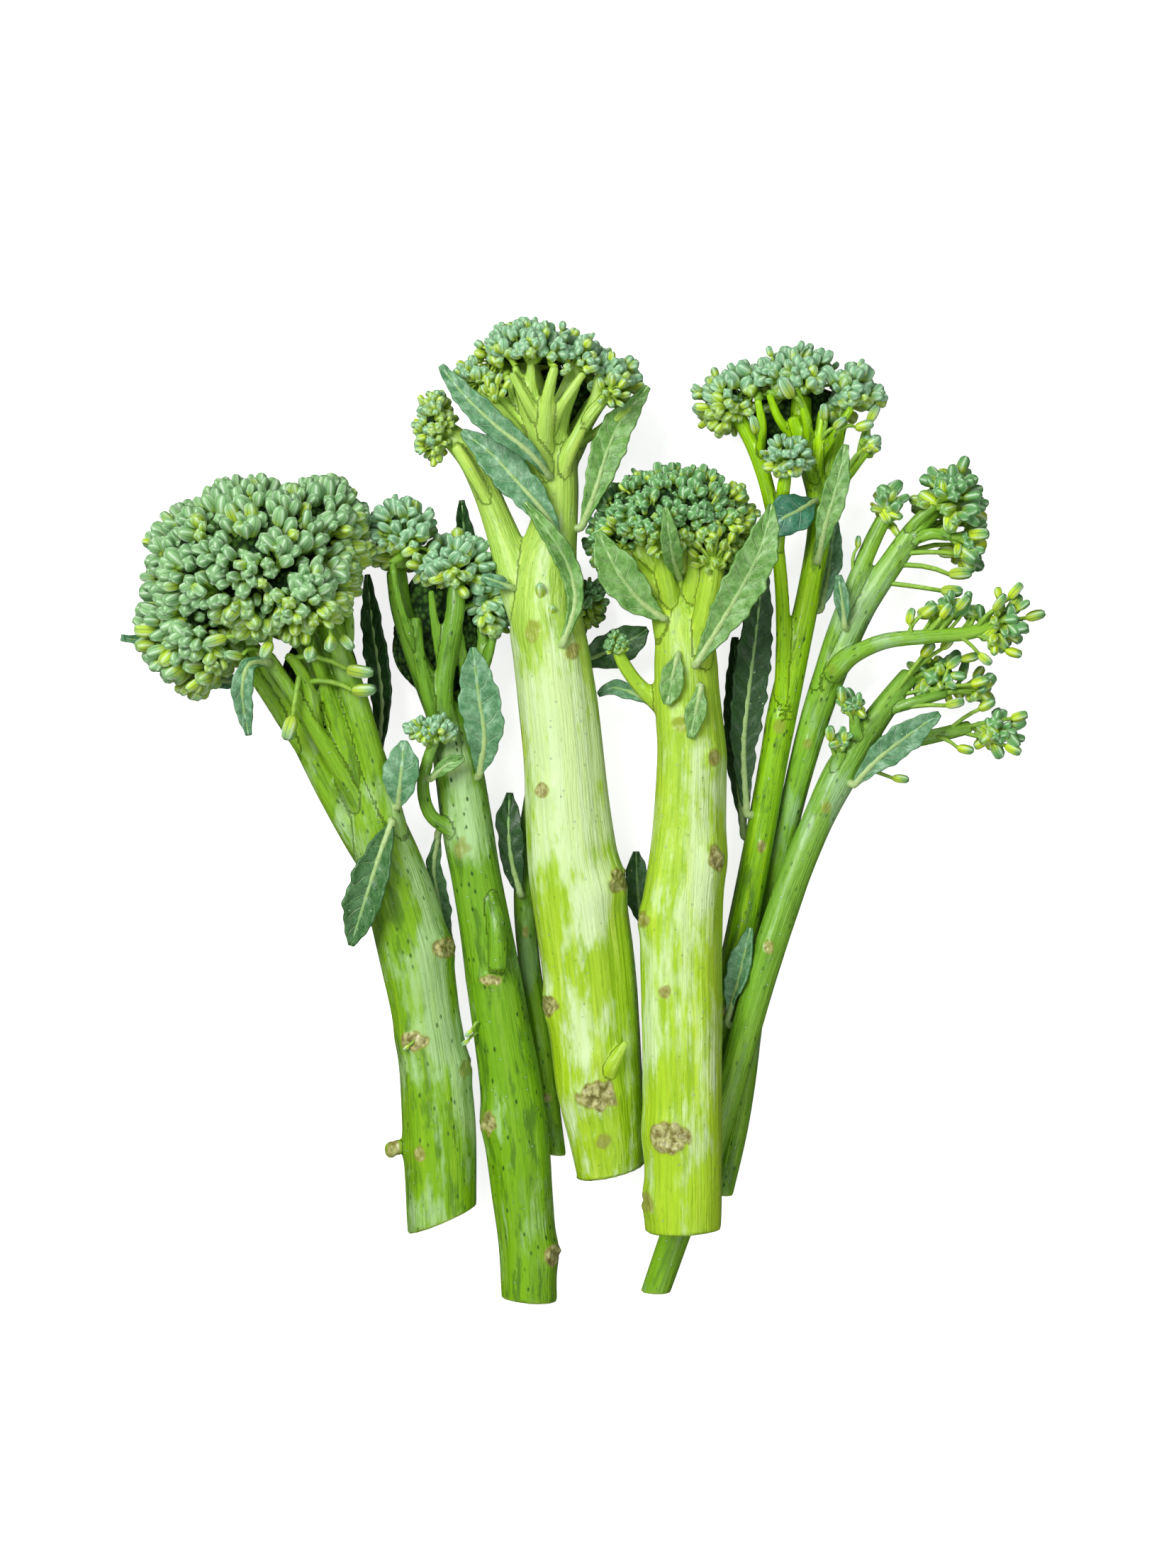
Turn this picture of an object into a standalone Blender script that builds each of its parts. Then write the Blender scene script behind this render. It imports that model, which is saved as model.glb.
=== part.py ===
"""A bunch of broccolini lying on its side: eight cut spears, fanned out and stacked as they came to rest.

Each spear is a stem that forks into branches, one or more crowns of closed buds, and narrow leaves.
+Y runs from the cut ends to the crowns, +X to the right and +Z up from the surface that the bunch lies on.
The origin is on that surface, under the middle of the bunch.
Blender works in metres. The layout below is written in millimetres and turned to metres where it is used.
"""

import math

import bmesh
import bpy
import numpy as np
from mathutils import Matrix, Vector

MM = 0.001

# Driving dimensions. The layout is stretched from its own size to these.
BUNCH_LENGTH = 181.0 * MM
BUNCH_WIDTH = 168.0 * MM
LAYOUT_LENGTH = 181.0 * MM
LAYOUT_WIDTH = 168.0 * MM

CLEARANCE = 0.4 * MM  # between any two pieces that touch
LEAF_THICKNESS = 0.8 * MM
LEAF_LEAST_WIDTH = 1.0 * MM  # across a leaf at its foot and its tip
LEAF_CLEARANCE = 0.9 * MM  # from the middle of a leaf to what it lies on
LEAF_GAP = 1.3 * MM  # between the middles of two leaves
LEAF_LIFT_STEP = 0.5 * MM  # a leaf that meets an earlier one bends up by this until it clears it
MOST_LEAF_LIFTS = 40
CAP_WELD = 0.01 * MM
THIN_BRANCH = 1.6 * MM  # a branch slimmer than this takes fewer sides
THICK_STEM = 4.0 * MM  # a stem thicker than this takes more
BIG_LOBE = 9.0 * MM  # a lobe of buds larger than this takes a finer ball
TUBE_STEP = 2.2  # rings along a tube, in radii
LEAF_COLUMNS = 2
LEAF_ROWS = 7
MIDRIB_STEP = 0.1 * MM

STEM_GREEN = (0.36, 0.60, 0.09, 1.0)
BUD_GREEN = (0.12, 0.30, 0.17, 1.0)
LEAF_GREEN = (0.08, 0.25, 0.16, 1.0)

# One entry for each spear, in the order in which they are laid down: each rests on the surface or on
# those before it. Points run from the cut end to the crown.
#   radius    of the stem at its thickest
#   stem      (x, y, z, share of radius)
#   branches  lists of (x, y, z, radius); each starts inside the stem
#   crowns    name: lobes of buds, each (x, y, z, half width, half length, half height)
#   leaves    (midrib points from foot to tip), width, roll in degrees, fold in degrees
SPEARS = {
    "spear_8": {
        "radius": 2.1,
        "stem": [
            (-3.5, -64, 2.3, 0.85), (-5.2, -52, 2.3, 0.95), (-6.8, -40, 2.4, 1.0), (-8.6, -28, 2.5, 1.0),
            (-9.6, -15, 2.6, 0.95), (-8.5, -2, 2.7, 0.9), (-6, 12, 2.9, 0.85), (-2.5, 25, 3.2, 0.75),
            (1.5, 36, 4.0, 0.65),
        ],
        "branches": [],
        "crowns": {"crown": [(2.2, 39.4, 4.6, 4.2, 4.8, 4.4)]},
        "leaves": [
            ([(-10.2, -15, 5.6), (-11.8, -9, 6.4), (-12.4, -3, 6.8), (-12.2, 4, 6.4)], 5.6, 0, 10),
            ([(0.6, 28, 5.4), (4.5, 29.5, 6.4), (9, 31.5, 7.2), (13.5, 34.5, 7.0)], 7.0, 0, 12),
        ],
    },
    "spear_1": {
        "radius": 6.8,
        "stem": [
            (-24.8, -75.5, 7.0, 0.94), (-25.3, -60, 7.2, 1.0), (-26.3, -48, 7.6, 0.95),
            (-27.8, -38, 8.2, 0.93), (-29.5, -28, 9.0, 0.98), (-31.8, -18, 10.2, 0.97),
            (-34.8, -8, 11.6, 0.88), (-37.8, 2, 13.0, 0.66), (-40.6, 11, 14.4, 0.46),
            (-43.8, 21, 15.8, 0.42), (-47, 31, 17.2, 0.38), (-50.5, 38, 18.2, 0.34),
        ],
        "branches": [
            [(-33.0, -14, 10.6, 4.0), (-39.5, -4, 11.6, 3.6), (-45.0, 5, 12.6, 3.0), (-49.2, 13, 13.6, 2.7),
             (-53.5, 21, 15.0, 2.4), (-59.5, 30, 16.8, 2.2), (-64, 37, 18.2, 2.0)],
            [(-33.8, -7, 12.6, 4.0), (-35.3, 3, 14.8, 3.0), (-37.6, 12, 17.0, 2.5), (-40.3, 22, 19.4, 2.3),
             (-43.6, 32, 21.4, 2.1), (-46, 39, 22.4, 1.9)],
            [(-38.6, 0, 14.6, 2.2), (-43.4, 9, 17.4, 1.7), (-46.8, 14.6, 18.6, 1.5), (-51, 21.5, 19.6, 1.4),
             (-56, 29, 20.6, 1.3)],
        ],
        "crowns": {
            "crown": [
                (-58.6, 45.2, 19.2, 20, 16.2, 18.4),
                (-46.4, 50.6, 16.4, 9.2, 11.8, 12.5),
                (-68.6, 35.2, 16.4, 11.6, 13.6, 13.4),
                (-50, 39.5, 27.5, 10, 8.5, 8.5),
            ],
        },
        "leaves": [
            ([(-55.4, 27.5, 23.0), (-58.6, 27.0, 27.0), (-59.8, 22, 27.0), (-59.0, 14.4, 23.5)], 3.8, 0, 12),
            ([(-58.5, 26, 12.6), (-66.5, 25, 4.0), (-75.5, 31, 3.0), (-84.4, 32.8, 7.5)], 3.6, 0, 10),
            ([(-34.6, 11, 11.0), (-34.6, 22, 8.5), (-37.0, 35, 8.0), (-38.6, 44.5, 8.5)], 5.2, 30, 10),
            ([(-33.0, -1.5, 19.6), (-35.6, -8.5, 20.4), (-38.2, -16, 19.4), (-41.0, -24, 16.5)], 8.0, -10,
             30),
            ([(-32.2, 1.5, 17.6), (-31.8, 5, 20.0), (-31.4, 9, 20.4), (-31.2, 13.5, 19.4)], 6.8, 12, 8),
        ],
    },
    "spear_2": {
        "radius": 6.0,
        "stem": [
            (-8.5, -90.4, 5.6, 0.87), (-8.9, -80, 5.7, 0.89), (-9.9, -70, 6.0, 0.95), (-10.8, -60, 6.3, 1.0),
            (-12.0, -50, 6.5, 0.96), (-13.6, -40, 6.7, 0.9), (-15.2, -30, 7.0, 0.85), (-16.8, -20, 7.4, 0.79),
            (-18.6, -10, 7.8, 0.77), (-20.3, 0, 8.2, 0.78), (-21.8, 10, 8.8, 0.73), (-23.6, 17, 9.3, 0.6),
            (-26.5, 23, 9.7, 0.45), (-29.5, 30, 10.1, 0.37), (-32, 38, 10.4, 0.34), (-33, 45, 10.5, 0.32),
        ],
        "branches": [
            [(-22.6, 11, 10.6, 3.0), (-24.2, 20, 12.6, 2.0), (-23.4, 29, 13.4, 1.8), (-22, 37, 13.6, 1.8),
             (-21.8, 43, 13.2, 1.7)],
            [(-21.0, 7, 8.8, 2.8), (-19.2, 17, 8.4, 2.2), (-17.6, 27, 8.4, 1.9), (-16.6, 36, 8.8, 1.7)],
            [(-22.8, -3, 10.8, 1.5), (-26.6, 0, 12.6, 1.3), (-27.9, 5, 13.6, 1.2), (-27.0, 10, 14.6, 1.1),
             (-25.5, 14, 15.2, 1.0)],
        ],
        "crowns": {
            "crown": [
                (-32.0, 51.3, 10.4, 6.6, 7.3, 8.6),
                (-22.0, 45.5, 11.2, 7.4, 6.6, 8.8),
                (-15.8, 39.0, 9.6, 3.8, 7.6, 6.8),
            ],
            "side_buds": [(-26.0, 15.4, 16.4, 5.4, 3.0, 2.9)],
        },
        "leaves": [
            ([(-24.6, -3, 6.6), (-26.0, -10, 5.5), (-25.0, -17, 4.8), (-23.4, -25, 4.6)], 4.0, 25, 10),
            ([(-17.8, 7, 12.6), (-16.6, 14, 16.2), (-17.6, 22, 17.8), (-18.6, 30.5, 18.4)], 7.8, 0, 10),
            ([(-26.2, 6.4, 15.8), (-23.6, 8.8, 16.8), (-20.2, 10.4, 17.0)], 2.8, 0, 10),
            ([(-18.2, 31, 6.2), (-19.6, 42, 1.8), (-20.6, 51, 1.6), (-21.2, 58.5, 4.0)], 4.6, 0, 10),
        ],
    },
    "spear_6": {
        "radius": 3.0,
        "stem": [
            (27.6, -71.5, 2.4, 0.65), (30.0, -60, 2.5, 0.74), (31.6, -50, 2.5, 0.77), (32.8, -40, 2.6, 0.77),
            (34.2, -30, 2.7, 0.77), (36.0, -20, 2.9, 0.77), (37.9, -10, 3.8, 0.77), (40.1, 0, 5.0, 0.77),
            (42.5, 10, 6.2, 0.83), (45.3, 20, 7.4, 0.93), (48.5, 29, 8.6, 1.0), (53, 38, 9.6, 0.87),
            (58.3, 46, 10.4, 0.77), (62.5, 52, 10.8, 0.7), (66.5, 56.5, 10.8, 0.55),
        ],
        "branches": [
            [(45.8, 23, 8.2, 2.4), (48.2, 33, 9.8, 1.8), (51.5, 42, 10.6, 1.7), (54.8, 50, 11.0, 1.6),
             (57.5, 55.5, 11.0, 1.4)],
            [(47.6, 26, 9.4, 2.2), (51.2, 29.3, 12.4, 1.7), (57, 31.8, 15.2, 1.5), (65, 32.6, 16.6, 1.4),
             (72, 33.2, 16.6, 1.3), (77, 35, 16.2, 1.2)],
        ],
        "crowns": {
            "crown": [(69.6, 57.6, 10.0, 7.3, 8.2, 9.0), (72, 49.6, 9.6, 4.6, 6.0, 6.4)],
            "left_crown": [(57.8, 57.0, 10.6, 4.0, 5.4, 6.4)],
            "right_crown": [(79, 35, 15.4, 5.4, 6.4, 6.0), (69.6, 37.6, 14.6, 7.0, 3.4, 4.2)],
        },
        "leaves": [
            ([(49.6, 34.5, 13.0), (49.0, 39.5, 14.4), (48.4, 44.0, 14.0)], 2.8, 0, 10),
        ],
    },
    "spear_5": {
        "radius": 3.0,
        "stem": [
            (16.5, -62, 3.1, 0.95), (21.8, -52, 3.4, 1.0), (25.8, -43, 4.2, 1.0), (28.9, -32, 5.6, 1.0),
            (31.4, -20, 6.7, 0.97), (33.3, -10, 7.2, 0.93), (35.1, 0, 7.6, 0.9), (37, 11, 7.9, 0.9),
            (38.9, 21, 8.3, 0.93), (41.2, 31, 9.0, 0.82), (43.3, 41, 9.6, 0.75), (45.0, 51, 10.2, 0.75),
            (45.2, 58, 10.6, 0.76), (43.6, 65, 10.8, 0.75), (42, 71, 11.0, 0.7), (41.8, 77, 11.0, 0.62),
        ],
        "branches": [
            [(45.2, 55, 10.4, 2.0), (47, 64, 10.6, 1.7), (48.6, 71, 10.8, 1.5), (49.8, 76, 11.0, 1.4)],
            [(38.7, 18, 8.8, 2.2), (38.6, 29, 10.2, 1.5), (38.3, 40, 11.0, 1.3), (37.3, 50, 11.4, 1.3),
             (35.8, 59, 11.6, 1.4), (33, 68, 11.4, 1.5), (29.5, 74.5, 11.2, 1.5)],
            [(37.4, 49, 11.8, 1.3), (37.8, 56, 14.4, 1.4), (38.5, 62, 16.8, 1.2)],
            [(45.2, 57, 11.2, 1.6), (50.2, 62.5, 12.4, 1.1), (53.6, 67, 13.2, 1.0)],
        ],
        "crowns": {
            "crown": [
                (41, 80.3, 10.8, 8.0, 6.5, 9.4),
                (51, 77.5, 10.6, 6.2, 6.0, 8.0),
                (33.4, 80.0, 10.4, 5.4, 4.6, 7.0),
                (27.8, 76.4, 10.4, 5.6, 6.0, 6.6),
            ],
            "front_buds": [(38.8, 65.2, 18.4, 4.7, 4.3, 4.0)],
            "side_bud": [(54.6, 68.4, 13.6, 2.0, 2.2, 2.0)],
        },
        "leaves": [
            ([(43.6, 57.5, 14.4), (41.0, 55.8, 16.6), (38, 54.2, 17.2), (34.8, 52, 16.2)], 7.6, 0, 12),
            ([(44.6, 46.5, 12.4), (45.8, 53, 15.0), (47.8, 60, 15.6), (49.4, 67.6, 15.2)], 4.6, 0, 12),
            ([(45.6, 38, 7.8), (46.8, 43, 7.2), (47.6, 48.5, 6.8), (48.4, 54.5, 6.8)], 4.6, 0, 10),
            ([(32.2, 0, 9.0), (31.4, 12, 9.6), (32.6, 25, 9.8), (34.0, 37, 9.8), (34.8, 47, 9.4)], 7.0, -15,
             10),
            ([(31.2, -4, 4.6), (29.8, 10, 4.6), (29.6, 21, 5.2), (29.8, 33, 5.6)], 4.2, 0, 10),
            ([(28.8, -39, 8.0), (29.6, -34, 9.6), (30.8, -28, 10.8), (32.4, -21, 11.4)], 5.4, 10, 10),
        ],
    },
    "spear_7": {
        "radius": 3.3,
        "stem": [
            (15, -89.6, 2.8, 0.82), (19, -78, 3.2, 0.85), (22.8, -68.5, 4.6, 0.85), (26, -59.5, 6.6, 0.85),
            (28.9, -50, 8.3, 0.85), (31.6, -40, 9.5, 0.85), (34.4, -30, 10.1, 0.88), (37.6, -20, 10.1, 0.9),
            (41.2, -10, 9.8, 0.88), (45.2, -0.5, 9.4, 0.9), (49.5, 8, 9.2, 1.0), (54, 15, 9.0, 0.8),
            (58.3, 21, 8.6, 0.67), (62.2, 26, 8.2, 0.55),
        ],
        "branches": [
            [(52.5, 12, 8.4, 2.0), (60, 13.2, 7.4, 1.5), (67, 14.6, 6.8, 1.4), (73.5, 16.2, 6.6, 1.3)],
            [(47.6, 4, 10.2, 1.5), (48.2, 8.6, 11.2, 1.2), (49, 11.6, 11.8, 1.0)],
            [(52.6, 12.5, 10.2, 1.6), (51.8, 16.0, 11.2, 1.2), (51.6, 18.4, 11.4, 1.0)],
        ],
        "crowns": {
            "crown": [(67.4, 25.6, 8.2, 6.6, 5.4, 6.0), (75.2, 23.4, 7.6, 3.8, 3.6, 4.4)],
            "right_crown": [(78.6, 15.4, 6.6, 5.4, 4.6, 5.4)],
            "low_buds": [(49.0, 13.4, 12.4, 2.5, 2.5, 2.4)],
            "left_buds": [(51.4, 20.4, 11.6, 3.4, 3.2, 3.2)],
        },
        "leaves": [
            ([(51.2, 5.5, 12.0), (55.4, 10.0, 13.0), (60.8, 14.2, 12.8), (67.2, 18.6, 12.4)], 5.8, 0, 10),
        ],
    },
    "spear_3": {
        "radius": 8.6,
        "stem": [
            (6.6, -66.5, 6.8, 0.76), (5.8, -60, 7.4, 0.84), (4.3, -50, 8.4, 0.93), (3.4, -40, 9.4, 0.97),
            (2.5, -30, 10.4, 0.99), (1.2, -20, 11.4, 1.0), (-0.3, -10, 12.3, 0.97), (-1.3, 0, 13.0, 0.91),
            (-2.0, 10, 13.6, 0.86), (-3.0, 20, 14.2, 0.85), (-4.3, 30, 14.8, 0.81), (-5.4, 38, 15.2, 0.76),
            (-5.0, 46, 15.4, 0.65), (-3.6, 54, 15.2, 0.5), (-3.4, 61, 15.0, 0.49), (-4.3, 67, 14.8, 0.52),
            (-5.8, 73, 14.6, 0.4), (-8, 79, 14.4, 0.3), (-9, 84, 14.2, 0.26),
        ],
        "branches": [
            [(-6.5, 34, 14.6, 5.0), (-10.0, 42, 14.4, 4.2), (-12.8, 50, 14.0, 3.2), (-15.8, 58, 13.6, 2.6),
             (-18.8, 65, 13.2, 2.6), (-22.0, 69.0, 12.8, 2.4), (-24.6, 71.0, 12.6, 2.0)],
            [(-4.6, 62, 16.0, 3.0), (-8.8, 68, 18.0, 2.1), (-12.8, 73.5, 18.8, 1.9), (-16.8, 78, 19.0, 1.7)],
            [(-3.2, 62, 14.4, 3.2), (-0.2, 69, 14.0, 2.2), (3, 74.5, 14.0, 1.9), (6.2, 78.5, 14.0, 1.7)],
            [(-4.4, 67, 16.4, 2.8), (-2.8, 73.5, 18.0, 2.1), (-0.6, 79, 18.4, 1.8), (0.2, 83, 18.4, 1.6)],
        ],
        "crowns": {
            "crown": [
                (-7.8, 84.0, 14.2, 10.4, 6.4, 12.6),
                (0.3, 82.8, 14.4, 6.2, 5.4, 10.0),
                (7.0, 79.8, 14.0, 4.8, 4.8, 7.4),
                (-17.6, 80.0, 16.0, 4.4, 3.8, 6.0),
            ],
            "side_crown": [(-25.8, 71.4, 12.6, 3.9, 6.7, 6.4)],
        },
        "leaves": [
            ([(-4.6, 61.6, 19.6), (-8.0, 65.5, 23.4), (-13.8, 70.0, 24.0), (-20.0, 76.0, 22.8),
              (-24.4, 81.8, 19.6)], 4.8, 0, 14),
            ([(-2.6, 50.4, 21.4), (-6.0, 55.6, 21.8), (-10.8, 61.0, 20.6), (-15.2, 65.8, 18.8),
              (-20.6, 70.0, 17.2)], 7.0, 0, 12),
            ([(0.9, 52.5, 17.2), (3.4, 58.5, 18.6), (5.4, 65.0, 18.6), (8.2, 71.6, 17.4), (13.4, 78.4, 16.4)],
             6.2, 0, 14),
            ([(-2.0, 31.0, 23.2), (0.2, 38, 22.6), (-0.8, 44.5, 22.6), (-4.2, 50.4, 24.6),
              (-9.0, 56.5, 23.8)], 4.2, 0, 28),
            ([(-11.4, 41.4, 19.0), (-14.0, 42.4, 20.0), (-17.0, 43.4, 19.6)], 2.6, 0, 10),
        ],
    },
    "spear_4": {
        "radius": 7.5,
        "stem": [
            (20, -76.4, 15.2, 0.92), (20, -70, 15.3, 0.93), (19.8, -50, 15.1, 0.96), (19.5, -30, 14.7, 1.0),
            (19.6, -18, 14.5, 1.0), (20.4, -8, 14.4, 0.94), (21, 2, 14.4, 0.88), (21.2, 12, 14.4, 0.84),
            (20.4, 22, 14.6, 0.8), (20.1, 30, 14.8, 0.75), (19.7, 36, 15.0, 0.62), (19.8, 42, 15.2, 0.42),
            (20, 48, 15.2, 0.35), (20, 54, 15.2, 0.3),
        ],
        "branches": [
            [(18.8, 31, 15.4, 4.0), (16.6, 39, 15.8, 3.1), (13.8, 45, 15.6, 2.8), (11.2, 50, 15.2, 2.3)],
            [(21.8, 26, 16.6, 3.2), (23.6, 34, 19.0, 2.4), (24.8, 41, 20.4, 2.2), (25.6, 47, 20.8, 2.0)],
            [(15.8, 20, 13.6, 1.8), (11.6, 24, 14.2, 1.4), (9.0, 27.6, 14.6, 1.3), (7.9, 30, 14.8, 1.2)],
        ],
        "crowns": {
            "crown": [
                (18.2, 54.0, 14.6, 14.6, 9.8, 14.2),
                (8.6, 50.6, 12.6, 6.4, 6.8, 9.4),
                (27.2, 53.0, 15.2, 6.2, 8.0, 10.0),
            ],
            "side_buds": [(7.6, 31.4, 15.2, 2.5, 2.3, 2.5)],
        },
        "leaves": [
            ([(16.2, 35.8, 19.6), (12.0, 38.8, 20.6), (7.8, 44.2, 21.8), (4.2, 51.4, 21.8)], 7.6, 0, 14),
            ([(22.2, 27.4, 21.8), (26.2, 34, 22.8), (30.2, 41, 24.4), (33.6, 48, 26.4), (35.6, 56, 25.0)],
             7.6, 0, 16),
            ([(18.6, 29.0, 21.6), (17.8, 25.5, 21.8), (16.8, 20.0, 21.4)], 4.6, 0, 8),
            ([(22.8, 23.4, 20.6), (22.2, 20.0, 21.2), (21.0, 14.0, 21.6)], 3.8, 0, 8),
            ([(18.6, 43.6, 20.6), (17.6, 46.0, 26.6), (16.8, 50.5, 30.4), (16.2, 55.0, 31.0)], 3.6, 0, 10),
            ([(14.4, 20.6, 12.2), (10.6, 22.6, 11.6), (7.0, 23.4, 11.2), (4.2, 22.2, 11.0)], 3.0, 0, 10),
            ([(13.8, -21, 9.4), (12.4, -17, 6.0), (11.8, -13, 4.6), (11.4, -7, 4.0)], 5.0, 0, 10),
        ],
    },
}


def stretched(x, y, z):
    """A layout point in metres, stretched with the bunch's length and width."""
    return np.array([
        x * MM * BUNCH_WIDTH / LAYOUT_WIDTH,
        y * MM * BUNCH_LENGTH / LAYOUT_LENGTH,
        z * MM,
    ])


def smooth_route(knots, spacing):
    """Points about `spacing` apart on a Catmull-Rom curve through the knots, with their radii."""
    knots = np.asarray(knots, float)
    padded = np.vstack([2 * knots[0] - knots[1], knots, 2 * knots[-1] - knots[-2]])
    found = [knots[0]]
    for before, start, end, after in zip(padded, padded[1:], padded[2:], padded[3:]):
        steps = max(1, round(np.linalg.norm((end - start)[:3]) / spacing))
        for step in range(1, steps + 1):
            t = step / steps
            found.append(0.5 * (
                2 * start + (end - before) * t
                + (2 * before - 5 * start + 4 * end - after) * t * t
                + (3 * start - before - 3 * end + after) * t ** 3
            ))
    return np.array(found)


def route_in_metres(points, radius_unit):
    return np.array([[*stretched(x, y, z), share * radius_unit] for x, y, z, share in points])


class Spear:
    """The routes and lobes of one spear in metres, before and after it is laid down."""

    def __init__(self, name, plan):
        self.name = name
        self.plan = plan
        self.tubes = [route_in_metres(plan["stem"], plan["radius"] * MM)]
        self.tubes += [route_in_metres(branch, MM) for branch in plan["branches"]]
        self.lobes = {
            crown: [(stretched(*lobe[:3]), np.array(lobe[3:]) * MM) for lobe in lobes]
            for crown, lobes in plan["crowns"].items()
        }
        self.lift = 0.0

    def raise_by(self, height):
        self.lift = height
        for tube in self.tubes:
            tube[:, 2] += height
        for lobes in self.lobes.values():
            for centre, _ in lobes:
                centre[2] += height

    def balls(self, spacing=MM):
        """The stem and branches as a chain of balls: x, y, z and radius."""
        return np.vstack([smooth_route(tube, spacing) for tube in self.tubes])


def lay_down(spear, laid):
    """Raises the spear until it clears the surface and each stem already laid."""
    own = spear.balls()
    lowest = [height - radius for height, radius in own[:, 2:4]]
    lowest += [centre[2] - half[2] for lobes in spear.lobes.values() for centre, half in lobes]
    needed = -min(lowest)
    for other in laid:
        theirs = other.balls()
        flat = np.linalg.norm(own[:, None, :2] - theirs[None, :, :2], axis=2)
        reach = own[:, None, 3] + theirs[None, :, 3] + CLEARANCE
        close = flat < reach
        rise = np.sqrt(np.where(close, reach ** 2 - flat ** 2, 0.0)) + theirs[None, :, 2] - own[:, None, 2]
        if close.any():
            needed = max(needed, rise[close].max())
    spear.raise_by(needed)


def material(name, colour):
    made = bpy.data.materials.new(name)
    made.use_nodes = True
    shader = made.node_tree.nodes["Principled BSDF"]
    shader.inputs["Base Color"].default_value = colour
    shader.inputs["Roughness"].default_value = 0.5
    return made


def link(obj, collection, root):
    for other in obj.users_collection:
        other.objects.unlink(obj)
    collection.objects.link(obj)
    obj.parent = root
    return obj


def as_helper(obj):
    obj.hide_render = True
    obj.display_type = "WIRE"
    return obj


def tube(name, knots, extra=0.0):
    """A closed round tube along the knots. `extra` widens it and runs it on past both ends."""
    thickest = knots[:, 3].max()
    points = smooth_route(knots, TUBE_STEP * max(thickest, THIN_BRANCH))
    if extra:
        points[:, 3] += extra
        for end, inner in ((0, 1), (-1, -2)):
            along = points[end, :3] - points[inner, :3]
            points[end, :3] += extra * along / np.linalg.norm(along)
    curve = bpy.data.curves.new(name, "CURVE")
    curve.dimensions = "3D"
    curve.bevel_depth = 1.0
    curve.bevel_resolution = 1 if thickest < THIN_BRANCH else 3 if thickest > THICK_STEM else 2
    curve.use_fill_caps = True
    spline = curve.splines.new("POLY")
    spline.points.add(len(points) - 1)
    for target, (x, y, z, radius) in zip(spline.points, points):
        target.co = (x, y, z, 1.0)
        target.radius = radius
    rod = bpy.data.objects.new(name + "_curve", curve)
    bpy.context.scene.collection.objects.link(rod)
    bpy.context.view_layer.update()
    mesh = bpy.data.meshes.new_from_object(rod.evaluated_get(bpy.context.evaluated_depsgraph_get()))
    shell = bmesh.new()
    shell.from_mesh(mesh)
    bmesh.ops.remove_doubles(shell, verts=shell.verts, dist=CAP_WELD)
    bmesh.ops.translate(shell, verts=shell.verts, vec=-Vector(knots[0, :3]))
    bmesh.ops.recalc_face_normals(shell, faces=shell.faces)
    shell.to_mesh(mesh)
    shell.free()
    bpy.data.objects.remove(rod)
    bpy.data.curves.remove(curve)
    made = bpy.data.objects.new(name, mesh)
    made.location = knots[0, :3]
    mesh.shade_smooth()
    return made


def ball(name, centre, half_sizes):
    """A ball of buds: an icosphere stretched to its three half sizes."""
    detail = 3 if max(half_sizes) > BIG_LOBE else 2
    bpy.ops.mesh.primitive_ico_sphere_add(subdivisions=detail, radius=1.0, location=centre)
    made = bpy.context.object
    made.name = made.data.name = name
    made.data.transform(Matrix.Diagonal((*half_sizes, 1.0)))
    made.data.shade_smooth()
    return made


def boolean(obj, operation, other):
    """Joins `other` to obj, or cuts it away, and leaves the modifier live."""
    modifier = obj.modifiers.new(operation.lower(), "BOOLEAN")
    modifier.operation = operation
    modifier.solver = "EXACT"
    modifier.object = other


def box_of(points, margins):
    margins = np.asarray(margins)
    return (points - margins).min(axis=0), (points + margins).max(axis=0)


def meets(first, second):
    return bool((first[0] <= second[1]).all() and (second[0] <= first[1]).all())


def tube_box(knots):
    return box_of(knots[:, :3], knots[:, 3:4] + CLEARANCE)


def lobe_box(lobe):
    return lobe[0] - lobe[1] - CLEARANCE, lobe[0] + lobe[1] + CLEARANCE


def build_stem(spear, parts, cutters, root, green):
    """The stem and its branches, joined into one body."""
    stem = link(tube(spear.name + "_stem", spear.tubes[0]), parts, root)
    stem.data.materials.append(green)
    for number, knots in enumerate(spear.tubes[1:], 1):
        branch = as_helper(link(tube(f"{spear.name}_branch_{number}", knots), cutters, root))
        boolean(stem, "UNION", branch)


def build_crown(name, lobes, tubes, earlier, parts, cutters, root, green):
    """The lobes joined into one body, with a socket for each stem or branch and room for earlier crowns."""
    crown = link(ball(name, *lobes[0]), parts, root)
    crown.data.materials.append(green)
    for number, lobe in enumerate(lobes[1:], 2):
        boolean(crown, "UNION", as_helper(link(ball(f"{name}_lobe_{number}", *lobe), cutters, root)))
    reach = [lobe_box(lobe) for lobe in lobes]
    for number, knots in enumerate(tubes, 1):
        if any(meets(tube_box(knots), near) for near in reach):
            socket = tube(f"{name}_socket_{number}", knots, CLEARANCE)
            boolean(crown, "DIFFERENCE", as_helper(link(socket, cutters, root)))
    for number, (centre, half) in enumerate(earlier, 1):
        if any(meets(lobe_box((centre, half)), near) for near in reach):
            room = ball(f"{name}_room_{number}", centre, half + CLEARANCE)
            boolean(crown, "DIFFERENCE", as_helper(link(room, cutters, root)))


def blade_half_width(along, width):
    """Half the leaf's width: narrow at the foot, widest past the middle, rounded at the tip."""
    swell = math.sin(math.pi * along ** 1.15) ** 0.7 if 0 < along < 1 else 0.0
    return max(LEAF_LEAST_WIDTH, width * swell) / 2


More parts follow.
